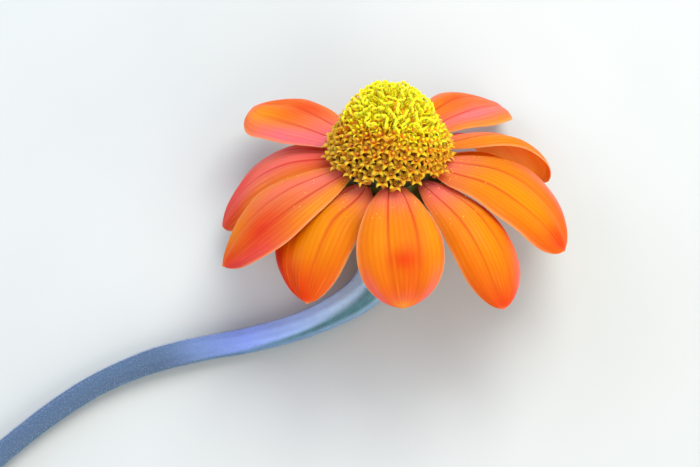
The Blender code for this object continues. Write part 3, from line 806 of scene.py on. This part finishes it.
# a branch is a line whose slope falls evenly by its turn, carrying a five-sided section
# that narrows a little towards its round end
def stigmaShapes(start, turn, length, thick):
    rows, sides = stigma["rows"], stigma["sides"]
    steps = 6 * (rows - 1)
    slope = math.pi / 2 + stigma["leanIn"] - turn[:, None] * np.linspace(0, 1, steps + 1)
    r, z = slopeLine(slope, (length / steps)[:, None])
    at = np.rint(np.linspace(0, steps, rows)).astype(int)
    r, z, slope = r[:, at] + stigma["apart"], z[:, at] + start[:, None], slope[:, at]
    along = np.linspace(0, 1, rows)
    width = (thick[:, None] * (1 - stigma["taper"] * along ** 2)
             * (1 - stigma["endRound"] * along ** 12))
    centre = np.stack([r, np.broadcast_to(stigma["drift"] * along ** 2, r.shape), z], -1)
    nearer = np.stack([-np.sin(slope), 0 * r, np.cos(slope)], -1) * width[..., None]
    beside = np.stack([0 * r, 1 + 0 * r, 0 * r], -1) * width[..., None]
    angle = np.arange(sides) * math.tau / sides
    ring = (centre[:, :, None] + np.cos(angle)[:, None] * nearer[:, :, None]
            + np.sin(angle)[:, None] * beside[:, :, None])
    ends = np.stack([centre[:, 0], centre[:, -1] + 0.5 * (centre[:, -1] - centre[:, -2])], 1)
    points = np.concatenate([ring.reshape(len(start), rows * sides, 3), ends], 1)
    return points, closedFaces(rows, sides), np.append(np.repeat(along, sides), [0.0, 1.0])


low, high = disc["stylesFrom"]
likely = between(*disc["stylesShare"], ease((age - low) / (high - low)))
chosen = rng.uniform(0, 1, florets) < likely
bearer = np.repeat(np.flatnonzero(chosen), 2)
half = np.tile((0.0, math.pi), chosen.sum())
turn = np.radians(np.where(age[bearer] > disc["budsAbove"] + stigma["topAbove"],
                           rng.uniform(*stigma["topTurn"], len(bearer)),
                           rng.uniform(*stigma["turn"], len(bearer))))
ringSize = (rng.uniform(*stigma["ring"], len(bearer))
            * between(stigma["lowSize"], 1.0, age[bearer]))
length = np.minimum(ringSize * turn, stigma["longest"])
thick = stigma["radius"] * rng.uniform(*stigma["radiusSpread"], len(bearer))
branches, faces, along = stigmaShapes(rise[bearer] - stigma["sunk"], turn, length, thick)
half = half + rng.normal(0, stigma["twist"], len(half))
branchAxes = axesAlong(leaning[bearer], floretSpin[bearer] + half)
# roots painted orange as the shade among the florets, lemon at the ends
stigmaSkin = discMaterial("stigma_papillae_and_shade", (
    ((0.0, "#D08208"), (0.55, "#F09408"), (0.76, "#FFD60E")),
    ((0.0, "#FFB818"), (0.58, "#FFB80C"), (0.76, "#FFFC16"))), 0.55, 0.15)
standPiece("floret_stigmas", branches, faces, seat[bearer], branchAxes, floretTint[bearer],
           along, stigmaSkin)
print("stigma branches:", len(bearer))

# Pales: chaffy scales that stand between the outermost florets and the petals, their roots
# painted dark as the shade there.
pales = {"count": 40, "root": (10.4, -2.2), "tip": (12.6, 0.6), "width": 1.9, "keel": 0.16,
         "back": (0.12, 0.06), "uneven": 0.3, "tall": (0.75, 1.15), "rows": 7, "seed": 3}


# a pale is a keeled blade, half = width/2 * (1 - u^2.2), bent from its root out to its tip
def buildPales():
    rng = np.random.default_rng(pales["seed"])
    copies, rows = pales["count"], pales["rows"]
    u = np.arange(rows) / rows
    r = between(pales["root"][0], pales["tip"][0], u ** 1.4)
    z = between(pales["root"][1], pales["tip"][1], u)
    half = pales["width"] / 2 * (1 - u ** 2.2)
    keel = pales["keel"] * (1 - u)
    backIn, backUp = pales["back"]
    ring = np.stack([np.stack([r, -half, z], 1), np.stack([r + keel, 0 * r, z - keel], 1),
                     np.stack([r, half, z], 1), np.stack([r - backIn, 0 * r, z + backUp], 1)], 1)
    tip = (pales["tip"][0], 0, pales["tip"][1])
    one = np.vstack([ring.reshape(-1, 3), tip, ring[0].mean(0)])
    faces = facingOut(one, closedFaces(rows, 4, tipFirst=True))
    shift = rng.uniform(-pales["uneven"], pales["uneven"], copies)
    around = (np.arange(copies) + shift) * math.tau / copies
    tall = rng.uniform(*pales["tall"], copies)
    c, s = np.cos(around), np.sin(around)
    z = (one[None, :, 2] - pales["root"][1]) * tall[:, None] + pales["root"][1]
    x = one[None, :, 0] * c[:, None] - one[None, :, 1] * s[:, None]
    y = one[None, :, 0] * s[:, None] + one[None, :, 1] * c[:, None]
    points = toWorld(np.stack([x, y, z], -1).reshape(-1, 3))
    # dry green-brown scales, painted nearly black towards their roots as the shade in the gaps
    # between the florets
    material, tree, shader = newMaterial("pale_chaff_and_shade", Roughness=0.6)
    surface = addNode(tree, "UVMap", uv_map="OFBake")
    along = addNode(tree, "SeparateXYZ", {0: surface}, out="Y")
    shade = addNode(tree, "ValToRGB", {"Fac": along}, stops=(
        (0.0, "#141A0A"), (0.55, "#26300F"), (1.0, "#5A5420")))
    tree.links.new(shade, shader.inputs["Base Color"])
    along = np.append(np.repeat(u, 4), (1.0, 0.0))
    uv = np.stack([np.repeat(tall, len(along)), np.tile(along, copies)], 1)
    piece = makePiece("pales", points, repeatFaces(faces, copies, len(one)), material,
                      mapName="OFBake", uv=uv)


buildPales()

# Receptacle: the dome that the florets stand on, painted dark as the shade between them.
receptacle = {"under": 1.5, "lowest": 2.0, "lifted": 0.2, "peak": 0.02, "footRadius": 9.4,
              "foot": -0.6, "sides": 96, "steps": 28}


# the florets' dome drawn in along its normal, turned round the axis
def buildReceptacle():
    form = receptacle
    t = np.linspace(math.radians(form["lowest"]), math.pi / 2, form["steps"], endpoint=False)
    r, z, normal = domeProfile(t)
    r = np.append(form["footRadius"], r - form["under"] * normal[:, 0])
    z = np.append(form["foot"], z - form["under"] * normal[:, 1] + form["lifted"])
    around = np.arange(form["sides"]) * math.tau / form["sides"]
    points = aroundAxis(r[:, None], z[:, None], around).reshape(-1, 3)
    points = np.vstack([points, (0, 0, form["foot"]), (0, 0, z[-1] + form["peak"])])
    faces = facingOut(points, closedFaces(len(r), form["sides"]))
    height = np.append(np.repeat(z / z[-1], form["sides"]), (0, 1))
    # chaff between the tubes, coloured as painted shade: nearly black low down at the rim,
    # orange higher up where young tubes crowd it
    material, tree, shader = newMaterial("receptacle_chaff_and_shade", Roughness=0.8)
    place = addNode(tree, "TexCoord", out="Object")
    speck = addNode(tree, "TexNoise", {"Vector": place, "Scale": 900.0, "Detail": 4.0})
    level = addNode(tree, "Attribute", out="Fac", attribute_name="level")
    mixed = addNode(tree, "Math", {0: speck, 1: 0.3, 2: level}, operation="MULTIPLY_ADD")
    shade = addNode(tree, "ValToRGB", {"Fac": mixed}, stops=(
        (0.2, "#1A0E04"), (0.45, "#4A2206"), (0.7, "#B86A08"), (0.95, "#F0B010")))
    tree.links.new(shade, shader.inputs["Base Color"])
    piece = makePiece("receptacle", toWorld(points), faces, material, level=height)


buildReceptacle()

# Involucre: the green cup under the head and its pointed bracts, in two rings.
cup = {
    "outline": ((8.5, -0.6), (8.5, -5.6), (10.6, -5.6), (11.2, -5.8), (10.6, -6.2),
                (8.6, -7.6), (6.2, -9.2), (4.7, -10.0)),
    "sides": 120,
    "fineness": 6,               # steps in each stretch of the outline
    "ribs": 12,
    "ribHeight": 0.1,
}
bracts = {
    "count": 12,
    "seed": 5,
    "sizes": (0.9, 1.05),
    "rootRadius": 7.0,
    "rootZ": -9.0,
    "rise": 1.7,
    "reach": 8.8,
    "width": 6.0,
    "swell": (0.25, 0.98),
    "keel": 0.17,
    "droop": 0.9,
    "midrib": 0.09,              # half width, as a share of half the bract's
    "sideVein": (0.45, 0.06),    # place and half width
    "veinDepth": 0.12,
    "thickness": 0.5,
    "rows": 40,
    "columns": 25,
    "innerLift": 1.3,            # of the second ring, which shows between the first
    "innerReach": 0.8,
}


# leaf green with pale raised veins and a soft down, matt as sage is
def bractMaterial():
    material, tree, shader = newMaterial("bract_leaf", **{
        "Roughness": 0.62, "Subsurface Weight": 0.1, "Subsurface Scale": 0.5 * mm,
        "Subsurface Radius": (0.4, 1.0, 0.2), "Sheen Weight": 0.35,
        "Sheen Roughness": 0.5, "Sheen Tint": colour("#DCE8D0")})
    place = addNode(tree, "TexCoord", out="Object")
    noise = addNode(tree, "TexNoise", {"Vector": place, "Scale": 420.0, "Detail": 4.0})
    shade = addNode(tree, "ValToRGB", {"Fac": noise}, stops=(
        (0.3, "#33501F"), (0.52, "#4A6B2C"), (0.75, "#6A8A44")))
    vein = addNode(tree, "Attribute", out="Fac", attribute_name="vein")
    shade = addNode(tree, "Mix", {0: vein, 6: shade, 7: colour("#9DB27A")}, out=2,
                    data_type="RGBA")
    tree.links.new(shade, shader.inputs["Base Color"])
    bump = addNode(tree, "Bump", {"Height": noise, "Strength": 0.5, "Distance": 0.1 * mm})
    tree.links.new(bump, shader.inputs["Normal"])
    return material


# a profile of straight stretches with its corners left crisp, turned round the axis with
# shallow ribs, height * cos(ribs * around), on its outside
def buildCup(material):
    corner = np.array(cup["outline"])
    steps = np.linspace(0, len(corner) - 1, (len(corner) - 1) * cup["fineness"] + 1)
    r, z = (np.interp(steps, np.arange(len(corner)), column) for column in corner.T)
    around = np.arange(cup["sides"]) * math.tau / cup["sides"]
    rib = cup["ribHeight"] * np.cos(cup["ribs"] * around)[None] * ease((steps - 3) / 2)[:, None]
    points = aroundAxis(r[:, None] + rib, z[:, None], around).reshape(-1, 3)
    points = np.vstack([points, (0, 0, z[0]), (0, 0, z[-1])])
    faces = facingOut(points, closedFaces(len(r), cup["sides"]))
    vein = np.append(np.maximum(rib * 6, 0), (0, 0))
    piece = makePiece("involucre_cup", toWorld(points), faces, material, vein=vein)
    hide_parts("involucre")


# one bract: half = width/2 * sin(pi * swell) across, a keeled blade with a midrib and
# side veins, closed round its rim as the petals are
def bractShape(around, size, lift, reachShare):
    form = bracts
    rows, columns = form["rows"], form["columns"]
    share = np.linspace(0, 1, rows)[:, None]
    across = np.sin(np.linspace(-1, 1, columns) * math.pi / 2)[None, :]
    half = form["width"] / 2 * np.sin(math.pi * between(*form["swell"], share ** 0.9))
    side = across * half
    out = form["rootRadius"] + form["reach"] * reachShare * size * share + 0 * across
    droop = -form["droop"] * ease((share - 0.55) / 0.45) * share
    height = form["rootZ"] + lift + form["rise"] * share + form["keel"] * np.abs(side) + droop
    place, narrow = form["sideVein"]
    rib = np.exp(-(across / form["midrib"]) ** 2)
    veins = np.exp(-((np.abs(across) - place) / narrow) ** 2) * 0.6
    height = height - form["veinDepth"] * (rib + veins) * (1 - share ** 4)
    grid = np.stack([out, side, np.broadcast_to(height, out.shape)], -1)
    normal = unit(np.cross(np.gradient(grid, axis=0), np.gradient(grid, axis=1)))
    rim = np.sqrt(np.maximum(1 - np.abs(across) ** 8, 0)) * np.sqrt(1 - 0.8 * share ** 6)
    offset = (form["thickness"] / 2 * rim)[..., None] * normal
    whole = laidRound(grid + offset, grid - offset)
    points = np.vstack([whole.reshape(-1, 3), whole[0].mean(0), whole[-1].mean(0)])
    vein = np.broadcast_to(rib * 0.8 + veins, (rows, columns))
    vein = np.append(laidRound(vein, vein).ravel(), (0, 0))
    turn = turnMatrix(around)
    back = ((side @ turn).reshape(-1, 3) for side in (grid - offset, -normal))
    return points @ turn, closedFaces(rows, whole.shape[1]), vein, *back


# two rings of the shape, an equal part of a turn apart; the second stands half a part
# on, higher and shorter
def buildBracts(material):
    rng = np.random.default_rng(bracts["seed"])
    shapes = []
    veins = []
    backs = []
    for ringNumber in range(2):
        for index in range(bracts["count"]):
            around = math.tau * (index + 0.5 + 0.5 * ringNumber) / bracts["count"]
            lift = bracts["innerLift"] * ringNumber
            share = between(1.0, bracts["innerReach"], ringNumber)
            size = rng.uniform(*bracts["sizes"])
            shape, faces, vein, *back = bractShape(around, size, lift, share)
            shapes.append(shape)
            veins.append(vein)
            backs.append(back)
    faces = repeatFaces(facingOut(shapes[0], faces), len(shapes), len(shapes[0]))
    piece = makePiece("involucre_bracts", toWorld(np.concatenate(shapes)), faces, material,
                      vein=np.concatenate(veins))
    return [np.concatenate(side) for side in zip(*backs)]


bractLeaf = bractMaterial()
buildCup(bractLeaf)
bractBack, bractFacing = buildBracts(bractLeaf)
print("involucre:", 2 * bracts["count"], "bracts")

# Stem: the same line as its solid, a point and a radius each, from the neck down to the
# cut end. None is a z where it lies on the table.
stem = {
    "top": (-10.4, 4.6),         # z along the head's axis, and radius
    "line": (
        (0.0, -11.0, -13.1, 4.5), (-0.5, -16.2, -17.8, 4.4), (-1.9, -20.8, -20.8, 4.2),
        (-5.2, -25.4, -22.8, 3.85), (-10.8, -29.1, None, 3.4), (-19.1, -32.8, None, 3.0),
        (-30.0, -35.8, None, 2.8), (-40.8, -37.8, None, 2.7), (-51.6, -40.6, None, 2.6),
        (-62.3, -45.2, None, 2.5), (-71.0, -50.7, None, 2.45), (-79.2, -57.1, None, 2.4),
        (-87.0, -64.0, None, 2.4), (-94.0, -71.5, None, 2.35), (-99.5, -79.5, None, 2.35)),
    "clear": 0.03,               # mm over the table
    "drawnIn": 0.05,             # mm, of the skin inside those radii
    "steps": 18,                 # between points of the line
    "sides": 72,
    "ribs": 9,
    "ribHeight": 0.07,
    "ribTwist": 0.02,            # radians a mm
    "swells": ((0.05, 9.0, 0.0), (0.03, 3.7, 1.0)),  # height, length over tau, start
    "neck": 75.0,                # mm over which the painted light at its upper end fades
    # the bloom and the lower edge are painted rim light, lilac where light catches the stem's
    # edges
    "bloomAt": (72.0, 34.0),     # degrees round from its far side over its top, far and near
    "bloomFrom": (-0.3, 0.6),    # cosines from that middle, far and near
    "bloomMost": 0.95,
    "bloomSoft": 0.5,            # of a cosine, over which it comes in
    "edgeAt": 172.0,
    "edgeFrom": (0.84, 0.14),    # the cosine where it begins, and over which it comes in
    "edgeMost": 0.5,
    "edgeFar": 0.25,             # of it that is left far from the head
    # rings of the cut face: share of the radius, mm proud, and place in its colours
    "cutRings": ((0.97, 0.12, 0.1), (0.86, 0.16, 0.3), (0.8, 0.12, 0.45), (0.6, 0.2, 0.7),
                 (0.3, 0.26, 0.9)),
    "pithProud": 0.28,
}


# a Catmull-Rom curve through the points, run on by their end slopes
def stemLine():
    lean = math.radians(head["lean"])
    z, radius = stem["top"]
    knots = [(0.0, math.sin(lean) * z, math.cos(lean) * z, radius)]
    for x, y, z, radius in stem["line"]:
        level = radius + stem["clear"] - head["centre"][2] if z is None else z
        knots.append((x, y, level, radius))
    knots = np.array(knots)
    knots = np.vstack([2 * knots[0] - knots[1], knots, 2 * knots[-1] - knots[-2]])
    at = np.linspace(0, len(knots) - 3, (len(knots) - 3) * stem["steps"] + 1)
    span = np.minimum(at.astype(int), len(knots) - 4)
    t = (at - span)[:, None]
    p0, p1, p2, p3 = (knots[span + step] for step in range(4))
    line = 0.5 * (2 * p1 + (p2 - p0) * t + (2 * p0 - 5 * p1 + 4 * p2 - p3) * t ** 2
                  + (3 * p1 - p0 - 3 * p2 + p3) * t ** 3)
    return line[:, :3] + np.array(head["centre"]), line[:, 3]


# a section carried along the line square to it: radius - height * (1 - cos(ribs * angle
# + twist * run)), with slow swells that are sines of the run
def stemSurface():
    centre, radius = stemLine()
    heading = unit(np.gradient(centre, axis=0))
    side = unit(np.cross(heading, (0.0, 0.0, 1.0)))
    up = np.cross(side, heading)
    angle = np.arange(stem["sides"]) * math.tau / stem["sides"]
    run = np.cumsum(np.append(0, np.linalg.norm(np.diff(centre, axis=0), axis=1)))
    rib = np.cos(stem["ribs"] * angle[None] + stem["ribTwist"] * run[:, None])
    swell = sum(size * np.sin(run / long + start) for size, long, start in stem["swells"])
    reach = radius[:, None] - stem["ribHeight"] * (1 - rib) + swell[:, None] - stem["drawnIn"]
    normal = (np.cos(angle)[None, :, None] * side[:, None]
              + np.sin(angle)[None, :, None] * up[:, None])
    return centre, heading, reach, normal, angle, run


# the stalk's green skin, blue-green under a pale lilac bloom that is painted rim light: it
# lies where light catches its edges, and is painted paler near the head as painted light
def stemMaterial():
    material, tree, shader = newMaterial("stem_skin", **{
        "Roughness": 0.6, "Subsurface Weight": 0.12, "Subsurface Scale": 0.8 * mm,
        "Subsurface Radius": (0.4, 1.0, 0.5), "Sheen Weight": 0.65,
        "Sheen Roughness": 0.45, "Sheen Tint": colour("#A8C4FF")})
    place = addNode(tree, "TexCoord", out="Object")
    noise = addNode(tree, "TexNoise", {"Vector": place, "Scale": 160.0, "Detail": 4.0})
    fine = addNode(tree, "TexNoise", {"Vector": place, "Scale": 1400.0, "Detail": 3.0})
    told = {key: addNode(tree, "Attribute", out="Fac", attribute_name=key)
            for key in ("bloom", "nearHead", "cut")}
    skin = addNode(tree, "ValToRGB", {"Fac": noise}, stops=(
        (0.3, "#28565C"), (0.52, "#386C76"), (0.75, "#4E8490")))
    # painted light: the bloom is painted dark far from the head and pale near it
    bloomLitNearHead = addNode(tree, "ValToRGB", {"Fac": told["nearHead"]}, stops=(
        (0.0, "#445E7E"), (0.05, "#6A84B8"), (0.2, "#8EA6F8"), (0.62, "#BCDEFF")))
    flesh = addNode(tree, "ValToRGB", {"Fac": told["cut"]}, stops=(
        (0.0, "#54806E"), (0.2, "#A9C48C"), (0.4, "#C9D8A8"), (0.6, "#EFEFDC")))
    isCut = addNode(tree, "Math", {0: told["cut"], 1: 0.02}, operation="GREATER_THAN")
    for share, other in ((told["bloom"], bloomLitNearHead), (isCut, flesh)):
        skin = addNode(tree, "Mix", {0: share, 6: skin, 7: other}, out=2, data_type="RGBA")
    tree.links.new(skin, shader.inputs["Base Color"])
    bump = addNode(tree, "Bump", {"Height": fine, "Strength": 0.5, "Distance": 0.08 * mm})
    tree.links.new(bump, shader.inputs["Normal"])
    return material


# the skin, centre + reach * normal in rings, and the cut face, which closes on its pith
def buildStem():
    centre, heading, reach, normal, angle, run = stemSurface()
    rings = centre[:, None] + reach[..., None] * normal
    # the cut face: rings that step in to the middle, a little proud at the pith
    share, proud, shade = np.array(stem["cutRings"]).T
    face = (centre[-1] + share[:, None, None] * (rings[-1] - centre[-1])
            + proud[:, None, None] * heading[-1])
    rings = np.concatenate([rings, face], 0)
    sides = stem["sides"]
    points = np.vstack([rings.reshape(-1, 3), centre[0],
                        centre[-1] + stem["pithProud"] * heading[-1]])
    faces = facingOut(points, closedFaces(len(rings), sides))
    # painted rim light: the lilac bloom lies along its upper edge near the head, spreads over
    # it further on, and lies thinly along its lower edge, where light catches it
    nearHead = 1 - ease(run / stem["neck"])
    middle = np.radians(between(*stem["bloomAt"], nearHead))[:, None]
    skyward = np.cos(angle - middle) - between(*stem["bloomFrom"], nearHead)[:, None]
    lower = np.cos(angle - math.radians(stem["edgeAt"]))
    bloom = stem["bloomMost"] * ease(skyward / stem["bloomSoft"])
    begins, over = stem["edgeFrom"]
    edge = stem["edgeMost"] * ease((lower - begins) / over)
    bloom = bloom + edge * between(stem["edgeFar"], 1.0, nearHead)[:, None]
    none = np.zeros(len(share) * sides)
    piece = makePiece("stem_skin", points * mm, faces, stemMaterial(),
                      bloom=np.concatenate([bloom.ravel(), none, (0, 0)]),
                      cut=np.concatenate([0 * bloom.ravel(), np.repeat(shade, sides), (0, 1)]),
                      nearHead=np.concatenate([np.repeat(nearHead, sides), none, (0, 0)]))
    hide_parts("stem")


buildStem()
print("stem ready")

# Pollen: a few golden grains shed on the petals beside the disc. Real grains are 0.03 mm,
# too fine to show, so these are drawn as the small clumps that they stick in.
pollen = {"count": 110, "size": (0.07, 0.15), "lumpy": (0.8, 1.2), "sat": 0.6,
          "along": 0.42, "crowding": 1.6, "seed": 5,
          "petals": ("left_front", "front_left", "front", "front_right", "right_front")}


# an octahedron for each clump, sat on a point of a petal's upper side; more lie near its
# root than further out, along = limit * share^crowding
def buildPollen():
    rng = np.random.default_rng(pollen["seed"])
    corners = np.array(((1, 0, 0), (0, 1, 0), (-1, 0, 0), (0, -1, 0), (0, 0, -1), (0, 0, 1)))
    count = pollen["count"]
    petal = rng.integers(0, len(pollen["petals"]), count)
    rows, columns = rayForm["rows"], rayForm["columns"]
    share = pollen["along"] * rng.uniform(0, 1, count) ** pollen["crowding"]
    row = np.rint(np.arcsin(share) / (math.pi / 2) * (rows - 1)).astype(int)
    column = rng.integers(columns // 8, columns - columns // 8, count)
    size = rng.uniform(*pollen["size"], count)
    turn = rng.uniform(0, math.tau, count)
    spots = np.empty((count, 3))
    facing = np.empty((count, 3))
    for number, name in enumerate(pollen["petals"]):
        chosen = petal == number
        surface, normal = blades[name]
        spots[chosen] = surface[row[chosen], column[chosen]]
        facing[chosen] = normal[row[chosen], column[chosen]]
    lumps = size[:, None, None] * rng.uniform(*pollen["lumpy"], (count, 6, 1))
    grains = standOn(corners[None] * lumps, spots + facing * size[:, None] * pollen["sat"],
                     axesAlong(facing, turn))
    # sticky lemon dust, rough and matt
    dust = newMaterial("pollen_dust", **{
        "Base Color": colour("#FFD04A"), "Roughness": 0.7, "Subsurface Weight": 0.2,
        "Subsurface Scale": 0.1 * mm})[0]
    faces = facingOut(corners, [fanFaces(0, 4, 5), fanFaces(0, 4, 4, back=True)])
    piece = makePiece("pollen", grains.reshape(-1, 3) * mm, repeatFaces(faces, count, 6), dust)


buildPollen()
print("pollen:", pollen["count"], "clumps")

# Down: short soft hairs on stem and involucre, drawn 0.05 mm thick though real ones
# are finer.
down = {
    "stemHairs": 13000,
    "bractHairs": 5000,
    "length": (0.35, 0.75),
    "radius": 0.028,
    "taper": 0.6,                # of the radius, at the middle
    "middle": (0.55, 0.14),      # shares of the length, out and aside
    "tip": (0.95, 0.5),
    "rooted": 0.05,
    "spread": (0.25, 0.3),       # of their directions, on stem and bracts
    "sweep": (0.5, 0.4),         # towards the cut end, mean and spread
    "bractSweep": 0.6,           # towards the tips
    "stray": 0.3,
    "nearTable": (1.5, 0.03),    # longest over the height there, and the shortest
    "clear": 0.01,               # mm over the table
    "seed": 21,
}


# each hair is a three-sided spike that leans and bends: its middle and tip lie at
# length * (out * outward + aside * sideways) from its root
def hairShapes(root, outward, sideways, length, radius):
    axes = axesAlong(outward, np.zeros(len(root)))
    corner = np.arange(3) * math.tau / 3
    around = (np.cos(corner)[None, :, None] * axes[:, None, 0]
              + np.sin(corner)[None, :, None] * axes[:, None, 1])
    middle, tip = (root + length[:, None] * (out * outward + aside * sideways)
                   for out, aside in (down["middle"], down["tip"]))
    sunk = root - outward * down["rooted"]
    points = np.concatenate([sunk[:, None] + radius * around,
                             middle[:, None] + down["taper"] * radius * around, tip[:, None],
                             sunk[:, None]], 1)
    faces = facingOut(points[0], closedFaces(2, 3, tipFirst=True))
    return points, repeatFaces(faces, len(root), points.shape[1])


# hairs at random places of the skin, each root between two rings of it, leaning the
# stem's way; near the table they are cut short
def buildStemDown(material):
    rng = np.random.default_rng(down["seed"])
    centre, heading, reach, normal, _, run = stemSurface()
    count = down["stemHairs"]
    share = np.interp(rng.uniform(0, run[-1], count), run, np.arange(len(run)))
    row = np.minimum(share.astype(int), len(run) - 2)
    side = rng.integers(0, stem["sides"], count)
    t = (share - row)[:, None]
    root = between(centre[row] + reach[row, side][:, None] * normal[row, side],
                   centre[row + 1] + reach[row + 1, side][:, None] * normal[row + 1, side], t)
    outward = unit(normal[row, side] + rng.normal(0, down["spread"][0], (count, 3)))
    sideways = heading[row] * rng.normal(*down["sweep"], (count, 1))
    sideways = sideways + rng.normal(0, down["stray"], (count, 3))
    length = rng.uniform(*down["length"], count)
    steep, shortest = down["nearTable"]
    length = np.minimum(length, np.maximum(root[:, 2] * steep, shortest))
    points, faces = hairShapes(root, outward, sideways, length, down["radius"])
    points[..., 2] = np.maximum(points[..., 2], down["clear"])
    piece = makePiece("stem_down", points.reshape(-1, 3) * mm, faces, material)


# the same hairs on the backs of the bracts, laid a little towards their tips
def buildBractDown(material):
    rng = np.random.default_rng(down["seed"] + 1)
    count = down["bractHairs"]
    chosen = rng.integers(0, len(bractBack), count)
    root = bractBack[chosen]
    outward = unit(bractFacing[chosen] + rng.normal(0, down["spread"][1], (count, 3)))
    sideways = (unit(root * (1, 1, 0)) * down["bractSweep"]
                + rng.normal(0, down["stray"], (count, 3)))
    points, faces = hairShapes(root, outward, sideways, rng.uniform(*down["length"], count),
                               down["radius"])
    piece = makePiece("bract_down", toWorld(points.reshape(-1, 3)), faces, material)


# clear white hairs that scatter light, so the down is a pale haze at each edge
plantDown = newMaterial("plant_down", **{
    "Base Color": colour("#A8B8D8"), "Roughness": 0.5, "Sheen Weight": 0.2})[0]
buildStemDown(plantDown)
buildBractDown(plantDown)
print("down:", down["stemHairs"] + down["bractHairs"], "hairs")

# Table: a plain pale board, not attached to the flower.
table = {"size": 4.0, "colour": "#C2C6C5", "fleck": "#C9CCCB"}
board, tree, shader = newMaterial("table_paint", Roughness=0.75)
place = addNode(tree, "TexCoord", out="Object")
grain = addNode(tree, "TexNoise", {"Vector": place, "Scale": 30.0, "Detail": 2.0})
tint = addNode(tree, "Mix", {0: grain, 6: colour(table["colour"]), 7: colour(table["fleck"])},
               out=2, data_type="RGBA")
tree.links.new(tint, shader.inputs["Base Color"])
half = table["size"] / 2
mesh = bpy.data.meshes.new("table")
mesh.from_pydata([(-half, -half, 0), (half, -half, 0), (half, half, 0), (-half, half, 0)], [],
                 [(0, 1, 2, 3)])
mesh.materials.append(board)
floor = bpy.data.objects.new("table", mesh)
bpy.context.scene.collection.objects.link(floor)

# Studio: a large soft lamp over the back right of the flower, a weaker one at its front
# right, a bluish one low at its left that draws the bloom, and an even pale surround.
lamps = {
    "sky": dict(place=(0.16, 0.34, 0.5), size=0.45, power=3.9, colour="#FFFDF6"),
    "fill": dict(place=(0.32, -0.42, 0.34), size=0.6, power=2.5, colour="#FFFCF8"),
    "rim": dict(place=(-0.46, 0.2, 0.24), size=0.4, power=1.3, colour="#C4DAFF"),
}
for name, lamp in lamps.items():
    light = bpy.data.lights.new(name, "AREA")
    light.shape = "DISK"
    light.size = lamp["size"]
    light.energy = lamp["power"]
    light.color = colour(lamp["colour"])[:3]
    holder = bpy.data.objects.new(name, light)
    place = np.array(lamp["place"]) + np.array(head["centre"]) * mm
    holder.location = place
    aim = np.array(head["centre"]) * mm - place
    flat = math.hypot(aim[0], aim[1])
    holder.rotation_euler = (math.atan2(flat, -aim[2]), 0.0, math.atan2(aim[1], aim[0])
                             - math.pi / 2)
    bpy.context.scene.collection.objects.link(holder)
surround = {"colour": "#EEF1F6", "strength": 0.62}
world = bpy.data.worlds.new("surround")
world.use_nodes = True
backdrop = world.node_tree.nodes["Background"]
backdrop.inputs["Color"].default_value = colour(surround["colour"])
backdrop.inputs["Strength"].default_value = surround["strength"]
bpy.context.scene.world = world
bpy.context.scene.view_settings.view_transform = "Standard"
print("lights ready")
